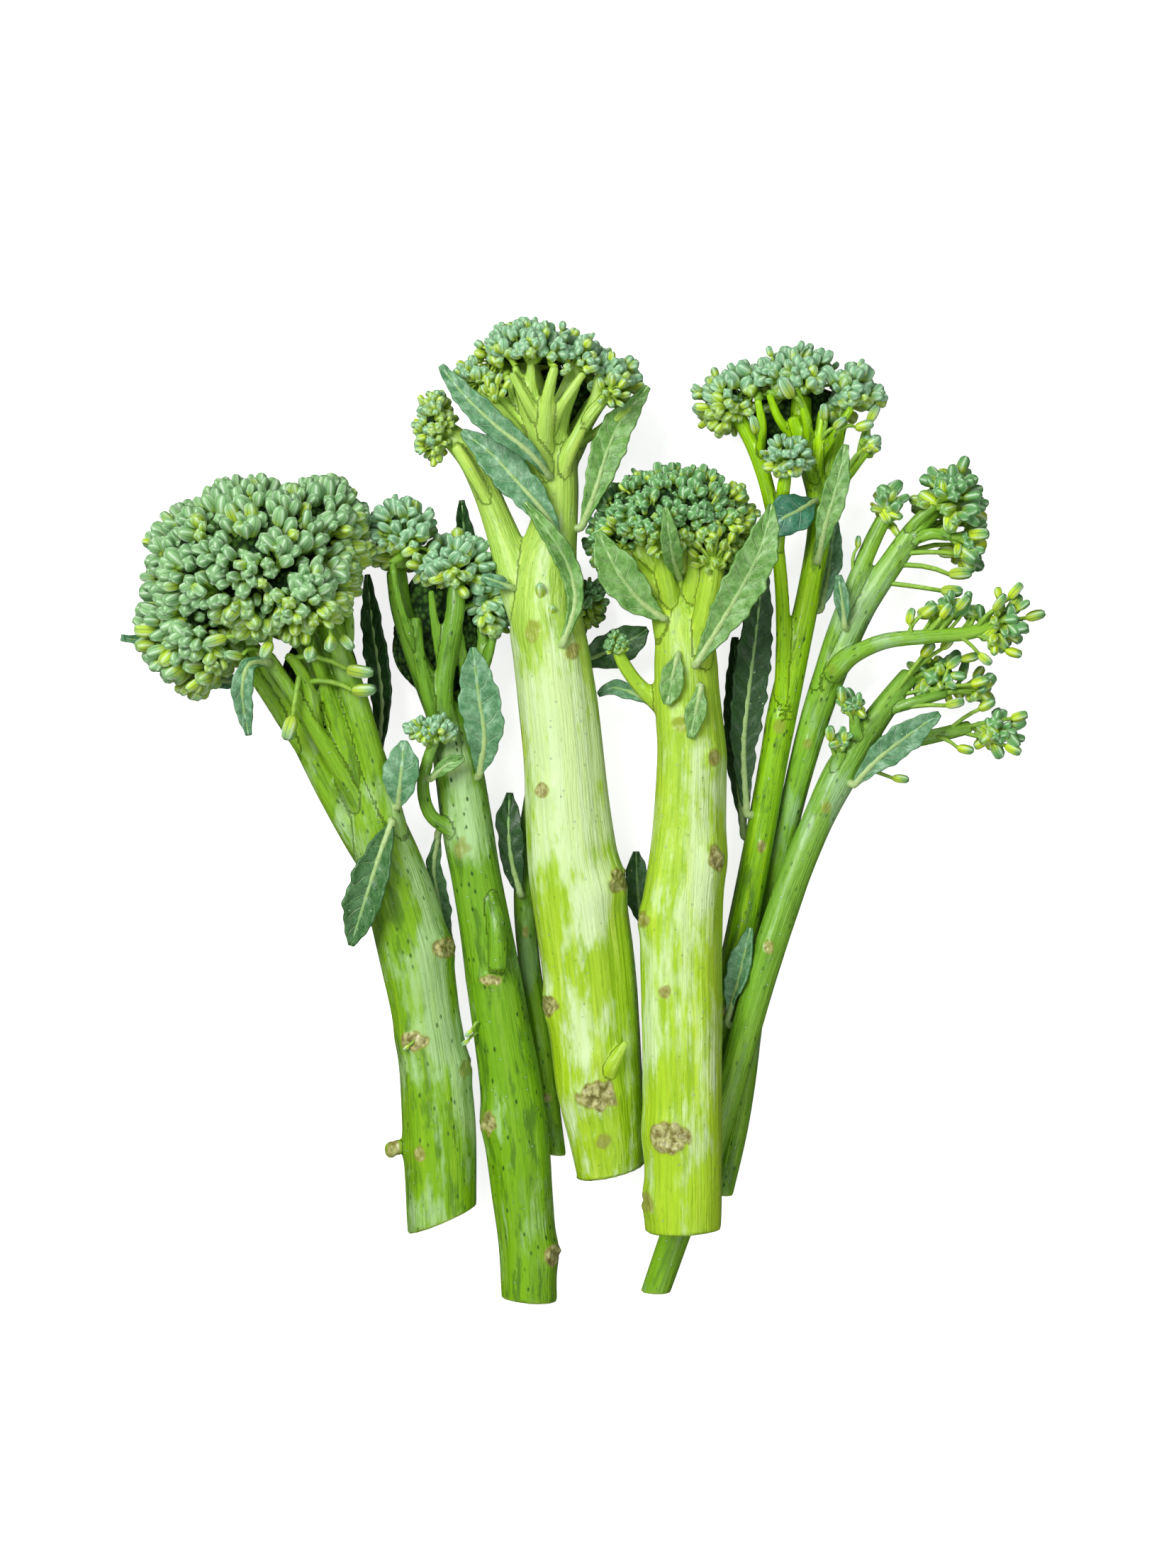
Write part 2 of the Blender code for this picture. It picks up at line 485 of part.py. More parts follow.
def seat(midrib, balls):
    """Stands the foot of the midrib on the nearest stem. The shift fades out towards the tip."""
    gaps = np.linalg.norm(balls[:, :3] - midrib[0], axis=1) - balls[:, 3]
    nearest = balls[gaps.argmin()]
    outward = midrib[0] - nearest[:3]
    outward /= np.linalg.norm(outward)
    foot = nearest[:3] + outward * (nearest[3] + LEAF_CLEARANCE)
    fade = np.linspace(1.0, 0.0, len(midrib))[:, None]
    return midrib + fade * (foot - midrib[0])


def push_clear(point, balls, lobes):
    """The point, moved out of every stem, branch and lobe that it would lie in."""
    for _ in range(4):
        offset = point - balls[:, :3]
        distance = np.linalg.norm(offset, axis=1)
        depth = balls[:, 3] + LEAF_CLEARANCE - distance
        worst = depth.argmax()
        if depth[worst] > 0:
            point = point + offset[worst] / distance[worst] * depth[worst]
        for centre, half in lobes:
            share = (point - centre) / (half + LEAF_CLEARANCE)
            if np.linalg.norm(share) < 1:
                point = centre + (half + LEAF_CLEARANCE) * share / np.linalg.norm(share)
        point[2] = max(point[2], LEAF_CLEARANCE)
    return point


def blade_points(rows, columns, width, roll, fold, lift):
    """Points of a blade on its midrib: `columns` places across, -1 to 1, folded up along the midrib."""
    points = []
    for row, centre in enumerate(rows):
        along = row / (len(rows) - 1)
        tangent = Vector(rows[min(row + 1, len(rows) - 1)] - rows[max(row - 1, 0)]).normalized()
        side = tangent.cross(Vector((0, 0, 1))).normalized()
        lifted = side.cross(tangent)
        across = np.array(side * math.cos(roll) + lifted * math.sin(roll))
        up = np.array(lifted * math.cos(roll) - side * math.sin(roll))
        bent = centre + np.array((0, 0, lift * math.sqrt(along)))
        for column in columns:
            reach = column * blade_half_width(along, width)
            points.append(bent + across * reach * math.cos(fold) + up * abs(reach) * math.sin(fold))
    return np.array(points)


def clear_blade(rows, shape, balls, lobes, leaves):
    """The blade's points, out of stems and crowns, and bent up until they clear the earlier leaves."""
    columns = np.linspace(-1, 1, LEAF_COLUMNS + 1)
    for lifts in range(MOST_LEAF_LIFTS):
        points = blade_points(rows, columns, *shape, lifts * LEAF_LIFT_STEP)
        points = np.array([push_clear(point, balls, lobes) for point in points])
        grid = points.reshape(LEAF_ROWS + 1, LEAF_COLUMNS + 1, 3)
        between = np.concatenate([grid[1:] + grid[:-1], grid[1:, 1:] + grid[:-1, :-1]], axis=1) / 2
        filled = np.vstack([points, between.reshape(-1, 3)])
        if not leaves:
            break
        gaps = np.linalg.norm(filled[:, None] - np.vstack(leaves)[None], axis=2)
        if gaps.min() > LEAF_GAP:
            break
    leaves.append(filled)
    return points


def build_leaf(name, spear, leaf, balls, lobes, leaves, parts, root, green):
    """A thin blade on a curved midrib, lying clear of stems, crowns and earlier leaves."""
    points, width, roll, fold = leaf
    midrib = np.array([stretched(*point) for point in points])
    midrib[:, 2] += spear.lift
    rows = smooth_route(seat(midrib, spear.balls()), MIDRIB_STEP)
    rows = rows[np.linspace(0, len(rows) - 1, LEAF_ROWS + 1).round().astype(int)]
    shape = (width * MM, math.radians(roll), math.radians(fold))
    placed = clear_blade(rows, shape, balls, lobes, leaves)
    bpy.ops.mesh.primitive_grid_add(
        x_subdivisions=LEAF_COLUMNS, y_subdivisions=LEAF_ROWS, size=2, location=placed[0])
    blade = bpy.context.object
    blade.name = blade.data.name = name
    for vertex in blade.data.vertices:
        row = round((vertex.co.y + 1) / 2 * LEAF_ROWS)
        column = round((vertex.co.x + 1) / 2 * LEAF_COLUMNS)
        vertex.co = Vector(placed[row * (LEAF_COLUMNS + 1) + column] - placed[0])
    thick = blade.modifiers.new("thickness", "SOLIDIFY")
    thick.thickness = LEAF_THICKNESS
    thick.offset = 0.0
    blade.data.shade_smooth()
    blade.data.materials.append(green)
    link(blade, parts, root)


def centre_on_origin(root, parts):
    """Moves the bunch so that the origin is on the surface, under the middle of its box."""
    bpy.context.view_layer.update()
    graph = bpy.context.evaluated_depsgraph_get()
    corners = []
    for obj in parts.objects:
        mesh = obj.evaluated_get(graph).to_mesh()
        corners += [obj.matrix_world @ vertex.co for vertex in mesh.vertices]
    low, high = np.min(corners, axis=0), np.max(corners, axis=0)
    root.location = (-(low[0] + high[0]) / 2, -(low[1] + high[1]) / 2, -low[2])


def main():
    for obj in list(bpy.data.objects):
        bpy.data.objects.remove(obj)
    parts = bpy.data.collections.new("broccolini_bunch")
    cutters = bpy.data.collections.new("cutters")
    for collection in (parts, cutters):
        bpy.context.scene.collection.children.link(collection)
    root = bpy.data.objects.new("bunch_origin", None)
    bpy.context.scene.collection.objects.link(root)

    spears = []
    for name, plan in SPEARS.items():
        spear = Spear(name, plan)
        lay_down(spear, spears)
        spears.append(spear)

    stem_green = material("stem", STEM_GREEN)
    bud_green = material("buds", BUD_GREEN)
    leaf_green = material("leaf", LEAF_GREEN)
    tubes = [knots for spear in spears for knots in spear.tubes]
    balls = np.vstack([spear.balls() for spear in spears])
    lobes = [lobe for spear in spears for crown in spear.lobes.values() for lobe in crown]

    built = []
    leaves = []
    for spear in spears:
        build_stem(spear, parts, cutters, root, stem_green)
        for crown, own in spear.lobes.items():
            build_crown(f"{spear.name}_{crown}", own, tubes, built, parts, cutters, root, bud_green)
            built += own
        for number, leaf in enumerate(spear.plan["leaves"], 1):
            name = f"{spear.name}_leaf_{number}"
            build_leaf(name, spear, leaf, balls, lobes, leaves, parts, root, leaf_green)
    centre_on_origin(root, parts)


main()
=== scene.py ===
# %% [markdown]
# # A bunch of broccolini
# Eight cut spears lie fanned out and stacked on a white surface. Each spear is a fleshy stem that forks into
# branches, one or more crowns of closed flower buds on thin stalks, and a few narrow leaves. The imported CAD
# model says where each of them lies. This lesson puts grown surfaces in the same places: skins with ribs and
# scars, a few thousand buds, and thin veined leaves.

import bpy
import mathutils
import numpy as np
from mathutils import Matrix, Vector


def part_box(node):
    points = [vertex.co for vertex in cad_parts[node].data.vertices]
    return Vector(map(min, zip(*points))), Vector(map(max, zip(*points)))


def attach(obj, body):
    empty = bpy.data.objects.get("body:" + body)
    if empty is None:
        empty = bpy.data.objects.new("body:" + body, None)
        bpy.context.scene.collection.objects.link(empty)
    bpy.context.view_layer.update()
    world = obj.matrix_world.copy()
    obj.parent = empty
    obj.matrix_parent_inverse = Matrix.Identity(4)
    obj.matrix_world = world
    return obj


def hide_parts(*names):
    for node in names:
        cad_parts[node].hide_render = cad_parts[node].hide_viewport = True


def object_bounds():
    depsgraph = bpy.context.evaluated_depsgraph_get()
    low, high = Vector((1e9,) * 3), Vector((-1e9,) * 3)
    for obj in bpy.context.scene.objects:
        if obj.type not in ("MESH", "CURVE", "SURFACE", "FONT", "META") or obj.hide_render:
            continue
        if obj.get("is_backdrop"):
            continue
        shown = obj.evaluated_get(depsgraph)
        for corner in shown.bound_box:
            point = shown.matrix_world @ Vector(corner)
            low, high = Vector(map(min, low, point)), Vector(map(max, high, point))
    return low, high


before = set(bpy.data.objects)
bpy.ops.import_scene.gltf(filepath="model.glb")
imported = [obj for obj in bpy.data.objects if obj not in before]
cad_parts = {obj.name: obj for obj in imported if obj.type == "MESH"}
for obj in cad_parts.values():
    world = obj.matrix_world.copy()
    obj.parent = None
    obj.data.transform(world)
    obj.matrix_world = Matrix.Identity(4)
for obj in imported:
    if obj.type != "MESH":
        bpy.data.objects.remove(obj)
CAD_BOX = [list(corner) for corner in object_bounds()]
MM = 0.001
print("CAD nodes:", len(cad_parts))

# %% [markdown]
# ## Where the spears lie
# These are the routes of the stems and branches, the balls that the crowns fill, and the midribs of the leaves,
# in millimetres, from the cut ends to the crowns. They are the same routes that the CAD solids follow, so that
# a grown skin fits round each solid. A stem knot is (x, y, z, share of the spear's radius), a branch knot is
# (x, y, z, radius), a lobe is (x, y, z, half width, half length, half height), and a leaf is its midrib's knots.

# %% The routes
SPEARS = {
    "spear_8": {
        "radius": 2.1,
        "stem": [(-3.5, -64, 2.3, 0.85), (-5.2, -52, 2.3, 0.95), (-6.8, -40, 2.4, 1), (-8.6, -28, 2.5, 1),
                 (-9.6, -15, 2.6, 0.95), (-8.5, -2, 2.7, 0.9), (-6, 12, 2.9, 0.85), (-2.5, 25, 3.2, 0.75),
                 (1.5, 36, 4, 0.65)],
        "branches": [],
        "crowns": {
            "crown": [(2.2, 39.4, 4.6, 4.2, 4.8, 4.4)],
        },
        "leaves": [
            [(-10.2, -15, 5.6), (-11.8, -9, 6.4), (-12.4, -3, 6.8), (-12.2, 4, 6.4)],
            [(0.6, 28, 5.4), (4.5, 29.5, 6.4), (9, 31.5, 7.2), (13.5, 34.5, 7)],
        ],
    },
    "spear_1": {
        "radius": 6.8,
        "stem": [(-24.8, -75.5, 7, 0.94), (-25.3, -60, 7.2, 1), (-26.3, -48, 7.6, 0.95),
                 (-27.8, -38, 8.2, 0.93), (-29.5, -28, 9, 0.98), (-31.8, -18, 10.2, 0.97),
                 (-34.8, -8, 11.6, 0.88), (-37.8, 2, 13, 0.66), (-40.6, 11, 14.4, 0.46), (-43.8, 21, 15.8, 0.42),
                 (-47, 31, 17.2, 0.38), (-50.5, 38, 18.2, 0.34)],
        "branches": [
            [(-33, -14, 10.6, 4), (-39.5, -4, 11.6, 3.6), (-45, 5, 12.6, 3), (-49.2, 13, 13.6, 2.7),
             (-53.5, 21, 15, 2.4), (-59.5, 30, 16.8, 2.2), (-64, 37, 18.2, 2)],
            [(-33.8, -7, 12.6, 4), (-35.3, 3, 14.8, 3), (-37.6, 12, 17, 2.5), (-40.3, 22, 19.4, 2.3),
             (-43.6, 32, 21.4, 2.1), (-46, 39, 22.4, 1.9)],
            [(-38.6, 0, 14.6, 2.2), (-43.4, 9, 17.4, 1.7), (-46.8, 14.6, 18.6, 1.5), (-51, 21.5, 19.6, 1.4),
             (-56, 29, 20.6, 1.3)],
        ],
        "crowns": {
            "crown": [(-58.6, 45.2, 19.2, 20, 16.2, 18.4), (-46.4, 50.6, 16.4, 9.2, 11.8, 12.5),
                      (-68.6, 35.2, 16.4, 11.6, 13.6, 13.4), (-50, 39.5, 27.5, 10, 8.5, 8.5)],
        },
        "leaves": [
            [(-55.4, 27.5, 23), (-58.6, 27, 27), (-59.8, 22, 27), (-59, 14.4, 23.5)],
            [(-58.5, 26, 12.6), (-66.5, 25, 4), (-75.5, 31, 3), (-84.4, 32.8, 7.5)],
            [(-34.6, 11, 11), (-34.6, 22, 8.5), (-37, 35, 8), (-38.6, 44.5, 8.5)],
            [(-33, -1.5, 19.6), (-35.6, -8.5, 20.4), (-38.2, -16, 19.4), (-41, -24, 16.5)],
            [(-32.2, 1.5, 17.6), (-31.8, 5, 20), (-31.4, 9, 20.4), (-31.2, 13.5, 19.4)],
        ],
    },
    "spear_2": {
        "radius": 6,
        "stem": [(-8.5, -90.4, 5.6, 0.87), (-8.9, -80, 5.7, 0.89), (-9.9, -70, 6, 0.95), (-10.8, -60, 6.3, 1),
                 (-12, -50, 6.5, 0.96), (-13.6, -40, 6.7, 0.9), (-15.2, -30, 7, 0.85), (-16.8, -20, 7.4, 0.79),
                 (-18.6, -10, 7.8, 0.77), (-20.3, 0, 8.2, 0.78), (-21.8, 10, 8.8, 0.73), (-23.6, 17, 9.3, 0.6),
                 (-26.5, 23, 9.7, 0.45), (-29.5, 30, 10.1, 0.37), (-32, 38, 10.4, 0.34), (-33, 45, 10.5, 0.32)],
        "branches": [
            [(-22.6, 11, 10.6, 3), (-24.2, 20, 12.6, 2), (-23.4, 29, 13.4, 1.8), (-22, 37, 13.6, 1.8),
             (-21.8, 43, 13.2, 1.7)],
            [(-21, 7, 8.8, 2.8), (-19.2, 17, 8.4, 2.2), (-17.6, 27, 8.4, 1.9), (-16.6, 36, 8.8, 1.7)],
            [(-22.8, -3, 10.8, 1.5), (-26.6, 0, 12.6, 1.3), (-27.9, 5, 13.6, 1.2), (-27, 10, 14.6, 1.1),
             (-25.5, 14, 15.2, 1)],
        ],
        "crowns": {
            "crown": [(-32, 51.3, 10.4, 6.6, 7.3, 8.6), (-22, 45.5, 11.2, 7.4, 6.6, 8.8),
                      (-15.8, 39, 9.6, 3.8, 7.6, 6.8)],
            "side_buds": [(-26, 15.4, 16.4, 5.4, 3, 2.9)],
        },
        "leaves": [
            [(-24.6, -3, 6.6), (-26, -10, 5.5), (-25, -17, 4.8), (-23.4, -25, 4.6)],
            [(-17.8, 7, 12.6), (-16.6, 14, 16.2), (-17.6, 22, 17.8), (-18.6, 30.5, 18.4)],
            [(-26.2, 6.4, 15.8), (-23.6, 8.8, 16.8), (-20.2, 10.4, 17)],
            [(-18.2, 31, 6.2), (-19.6, 42, 1.8), (-20.6, 51, 1.6), (-21.2, 58.5, 4)],
        ],
    },
    "spear_6": {
        "radius": 3,
        "stem": [(27.6, -71.5, 2.4, 0.65), (30, -60, 2.5, 0.74), (31.6, -50, 2.5, 0.77),
                 (32.8, -40, 2.6, 0.77), (34.2, -30, 2.7, 0.77), (36, -20, 2.9, 0.77), (37.9, -10, 3.8, 0.77),
                 (40.1, 0, 5, 0.77), (42.5, 10, 6.2, 0.83), (45.3, 20, 7.4, 0.93), (48.5, 29, 8.6, 1),
                 (53, 38, 9.6, 0.87), (58.3, 46, 10.4, 0.77), (62.5, 52, 10.8, 0.7), (66.5, 56.5, 10.8, 0.55)],
        "branches": [
            [(45.8, 23, 8.2, 2.4), (48.2, 33, 9.8, 1.8), (51.5, 42, 10.6, 1.7), (54.8, 50, 11, 1.6),
             (57.5, 55.5, 11, 1.4)],
            [(47.6, 26, 9.4, 2.2), (51.2, 29.3, 12.4, 1.7), (57, 31.8, 15.2, 1.5), (65, 32.6, 16.6, 1.4),
             (72, 33.2, 16.6, 1.3), (77, 35, 16.2, 1.2)],
        ],
        "crowns": {
            "crown": [(69.6, 57.6, 10, 7.3, 8.2, 9), (72, 49.6, 9.6, 4.6, 6, 6.4)],
            "left_crown": [(57.8, 57, 10.6, 4, 5.4, 6.4)],
            "right_crown": [(79, 35, 15.4, 5.4, 6.4, 6), (69.6, 37.6, 14.6, 7, 3.4, 4.2)],
        },
        "leaves": [[(49.6, 34.5, 13), (49, 39.5, 14.4), (48.4, 44, 14)]],
    },
    "spear_5": {
        "radius": 3,
        "stem": [(16.5, -62, 3.1, 0.95), (21.8, -52, 3.4, 1), (25.8, -43, 4.2, 1), (28.9, -32, 5.6, 1),
                 (31.4, -20, 6.7, 0.97), (33.3, -10, 7.2, 0.93), (35.1, 0, 7.6, 0.9), (37, 11, 7.9, 0.9),
                 (38.9, 21, 8.3, 0.93), (41.2, 31, 9, 0.82), (43.3, 41, 9.6, 0.75), (45, 51, 10.2, 0.75),
                 (45.2, 58, 10.6, 0.76), (43.6, 65, 10.8, 0.75), (42, 71, 11, 0.7), (41.8, 77, 11, 0.62)],
        "branches": [
            [(45.2, 55, 10.4, 2), (47, 64, 10.6, 1.7), (48.6, 71, 10.8, 1.5), (49.8, 76, 11, 1.4)],
            [(38.7, 18, 8.8, 2.2), (38.6, 29, 10.2, 1.5), (38.3, 40, 11, 1.3), (37.3, 50, 11.4, 1.3),
             (35.8, 59, 11.6, 1.4), (33, 68, 11.4, 1.5), (29.5, 74.5, 11.2, 1.5)],
            [(37.4, 49, 11.8, 1.3), (37.8, 56, 14.4, 1.4), (38.5, 62, 16.8, 1.2)],
            [(45.2, 57, 11.2, 1.6), (50.2, 62.5, 12.4, 1.1), (53.6, 67, 13.2, 1)],
        ],
        "crowns": {
            "crown": [(41, 80.3, 10.8, 8, 6.5, 9.4), (51, 77.5, 10.6, 6.2, 6, 8),
                      (33.4, 80, 10.4, 5.4, 4.6, 7), (27.8, 76.4, 10.4, 5.6, 6, 6.6)],
            "front_buds": [(38.8, 65.2, 18.4, 4.7, 4.3, 4)],
            "side_bud": [(54.6, 68.4, 13.6, 2, 2.2, 2)],
        },
        "leaves": [
            [(43.6, 57.5, 14.4), (41, 55.8, 16.6), (38, 54.2, 17.2), (34.8, 52, 16.2)],
            [(44.6, 46.5, 12.4), (45.8, 53, 15), (47.8, 60, 15.6), (49.4, 67.6, 15.2)],
            [(45.6, 38, 7.8), (46.8, 43, 7.2), (47.6, 48.5, 6.8), (48.4, 54.5, 6.8)],
            [(32.2, 0, 9), (31.4, 12, 9.6), (32.6, 25, 9.8), (34, 37, 9.8), (34.8, 47, 9.4)],
            [(31.2, -4, 4.6), (29.8, 10, 4.6), (29.6, 21, 5.2), (29.8, 33, 5.6)],
            [(28.8, -39, 8), (29.6, -34, 9.6), (30.8, -28, 10.8), (32.4, -21, 11.4)],
        ],
    },
    "spear_7": {
        "radius": 3.3,
        "stem": [(15, -89.6, 2.8, 0.82), (19, -78, 3.2, 0.85), (22.8, -68.5, 4.6, 0.85),
                 (26, -59.5, 6.6, 0.85), (28.9, -50, 8.3, 0.85), (31.6, -40, 9.5, 0.85), (34.4, -30, 10.1, 0.88),
                 (37.6, -20, 10.1, 0.9), (41.2, -10, 9.8, 0.88), (45.2, -0.5, 9.4, 0.9), (49.5, 8, 9.2, 1),
                 (54, 15, 9, 0.8), (58.3, 21, 8.6, 0.67), (62.2, 26, 8.2, 0.55)],
        "branches": [
            [(52.5, 12, 8.4, 2), (60, 13.2, 7.4, 1.5), (67, 14.6, 6.8, 1.4), (73.5, 16.2, 6.6, 1.3)],
            [(47.6, 4, 10.2, 1.5), (48.2, 8.6, 11.2, 1.2), (49, 11.6, 11.8, 1)],
            [(52.6, 12.5, 10.2, 1.6), (51.8, 16, 11.2, 1.2), (51.6, 18.4, 11.4, 1)],
        ],
        "crowns": {
            "crown": [(67.4, 25.6, 8.2, 6.6, 5.4, 6), (75.2, 23.4, 7.6, 3.8, 3.6, 4.4)],
            "right_crown": [(78.6, 15.4, 6.6, 5.4, 4.6, 5.4)],
            "low_buds": [(49, 13.4, 12.4, 2.5, 2.5, 2.4)],
            "left_buds": [(51.4, 20.4, 11.6, 3.4, 3.2, 3.2)],
        },
        "leaves": [[(51.2, 5.5, 12), (55.4, 10, 13), (60.8, 14.2, 12.8), (67.2, 18.6, 12.4)]],
    },
    "spear_3": {
        "radius": 8.6,
        "stem": [(6.6, -66.5, 6.8, 0.76), (5.8, -60, 7.4, 0.84), (4.3, -50, 8.4, 0.93), (3.4, -40, 9.4, 0.97),
                 (2.5, -30, 10.4, 0.99), (1.2, -20, 11.4, 1), (-0.3, -10, 12.3, 0.97), (-1.3, 0, 13, 0.91),
                 (-2, 10, 13.6, 0.86), (-3, 20, 14.2, 0.85), (-4.3, 30, 14.8, 0.81), (-5.4, 38, 15.2, 0.76),
                 (-5, 46, 15.4, 0.65), (-3.6, 54, 15.2, 0.5), (-3.4, 61, 15, 0.49), (-4.3, 67, 14.8, 0.52),
                 (-5.8, 73, 14.6, 0.4), (-8, 79, 14.4, 0.3), (-9, 84, 14.2, 0.26)],
        "branches": [
            [(-6.5, 34, 14.6, 5), (-10, 42, 14.4, 4.2), (-12.8, 50, 14, 3.2), (-15.8, 58, 13.6, 2.6),
             (-18.8, 65, 13.2, 2.6), (-22, 69, 12.8, 2.4), (-24.6, 71, 12.6, 2)],
            [(-4.6, 62, 16, 3), (-8.8, 68, 18, 2.1), (-12.8, 73.5, 18.8, 1.9), (-16.8, 78, 19, 1.7)],
            [(-3.2, 62, 14.4, 3.2), (-0.2, 69, 14, 2.2), (3, 74.5, 14, 1.9), (6.2, 78.5, 14, 1.7)],
            [(-4.4, 67, 16.4, 2.8), (-2.8, 73.5, 18, 2.1), (-0.6, 79, 18.4, 1.8), (0.2, 83, 18.4, 1.6)],
        ],
        "crowns": {
            "crown": [(-7.8, 84, 14.2, 10.4, 6.4, 12.6), (0.3, 82.8, 14.4, 6.2, 5.4, 10),
                      (7, 79.8, 14, 4.8, 4.8, 7.4), (-17.6, 80, 16, 4.4, 3.8, 6)],
            "side_crown": [(-25.8, 71.4, 12.6, 3.9, 6.7, 6.4)],
        },
        "leaves": [
            [(-4.6, 61.6, 19.6), (-8, 65.5, 23.4), (-13.8, 70, 24), (-20, 76, 22.8), (-24.4, 81.8, 19.6)],
            [(-2.6, 50.4, 21.4), (-6, 55.6, 21.8), (-10.8, 61, 20.6), (-15.2, 65.8, 18.8), (-20.6, 70, 17.2)],
            [(0.9, 52.5, 17.2), (3.4, 58.5, 18.6), (5.4, 65, 18.6), (8.2, 71.6, 17.4), (13.4, 78.4, 16.4)],
            [(-2, 31, 23.2), (0.2, 38, 22.6), (-0.8, 44.5, 22.6), (-4.2, 50.4, 24.6), (-9, 56.5, 23.8)],
            [(-11.4, 41.4, 19), (-14, 42.4, 20), (-17, 43.4, 19.6)],
        ],
    },
    "spear_4": {
        "radius": 7.5,
        "stem": [(20, -76.4, 15.2, 0.92), (20, -70, 15.3, 0.93), (19.8, -50, 15.1, 0.96), (19.5, -30, 14.7, 1),
                 (19.6, -18, 14.5, 1), (20.4, -8, 14.4, 0.94), (21, 2, 14.4, 0.88), (21.2, 12, 14.4, 0.84),
                 (20.4, 22, 14.6, 0.8), (20.1, 30, 14.8, 0.75), (19.7, 36, 15, 0.62), (19.8, 42, 15.2, 0.42),
                 (20, 48, 15.2, 0.35), (20, 54, 15.2, 0.3)],
        "branches": [
            [(18.8, 31, 15.4, 4), (16.6, 39, 15.8, 3.1), (13.8, 45, 15.6, 2.8), (11.2, 50, 15.2, 2.3)],
            [(21.8, 26, 16.6, 3.2), (23.6, 34, 19, 2.4), (24.8, 41, 20.4, 2.2), (25.6, 47, 20.8, 2)],
            [(15.8, 20, 13.6, 1.8), (11.6, 24, 14.2, 1.4), (9, 27.6, 14.6, 1.3), (7.9, 30, 14.8, 1.2)],
        ],
        "crowns": {
            "crown": [(18.2, 54, 14.6, 14.6, 9.8, 14.2), (8.6, 50.6, 12.6, 6.4, 6.8, 9.4),
                      (27.2, 53, 15.2, 6.2, 8, 10)],
            "side_buds": [(7.6, 31.4, 15.2, 2.5, 2.3, 2.5)],
        },
        "leaves": [
            [(16.2, 35.8, 19.6), (12, 38.8, 20.6), (7.8, 44.2, 21.8), (4.2, 51.4, 21.8)],
            [(22.2, 27.4, 21.8), (26.2, 34, 22.8), (30.2, 41, 24.4), (33.6, 48, 26.4), (35.6, 56, 25)],
            [(18.6, 29, 21.6), (17.8, 25.5, 21.8), (16.8, 20, 21.4)],
            [(22.8, 23.4, 20.6), (22.2, 20, 21.2), (21, 14, 21.6)],
            [(18.6, 43.6, 20.6), (17.6, 46, 26.6), (16.8, 50.5, 30.4), (16.2, 55, 31)],
            [(14.4, 20.6, 12.2), (10.6, 22.6, 11.6), (7, 23.4, 11.2), (4.2, 22.2, 11)],
            [(13.8, -21, 9.4), (12.4, -17, 6), (11.8, -13, 4.6), (11.4, -7, 4)],
        ],
    },
}

# %% [markdown]
# ## Details that only the skin has
# A real stem is never a clean tube. Where a leaf was pulled off there is a pale oval scar, often over a
# swelling. Some petioles are cut short and stay as stubs. Near the crowns, more branches fill the fan than the
# main ones. They are listed here for each spear: scars as (x, y, half width, half length, height, how brown),
# and twigs as (x, y, z, radius) knots. Single buds on long stalks come in fans: the foot of the stalks, then
# (x, y, z, length) for each bud's middle. REACH says how the buds of a crown are made: (bud length, gap between
# buds, gap between clusters, height of a cluster's dome, and how far each lobe's buds come down towards the
# stem, from 1 for only its top to -1 for all of it). WAX says where a spear's bloom of wax is left: an amount
# for all of it, then patches as (x, y, half width, half length, amount). RIPE says how far the buds of a lobe
# have turned yellow-green. The shaded hearts are the bundles of young stalks and leaflets in a fan, painted
# near black as the shade in its gaps: middle, then half sizes.

# %% The details
SLANT = {
    "spear_1": 0.38,
    "spear_2": -0.12,
    "spear_3": 0.1,
    "spear_4": 0.06,
    "spear_5": -0.2,
    "spear_6": 0.15,
    "spear_7": 0.3,
    "spear_8": -0.2,
}

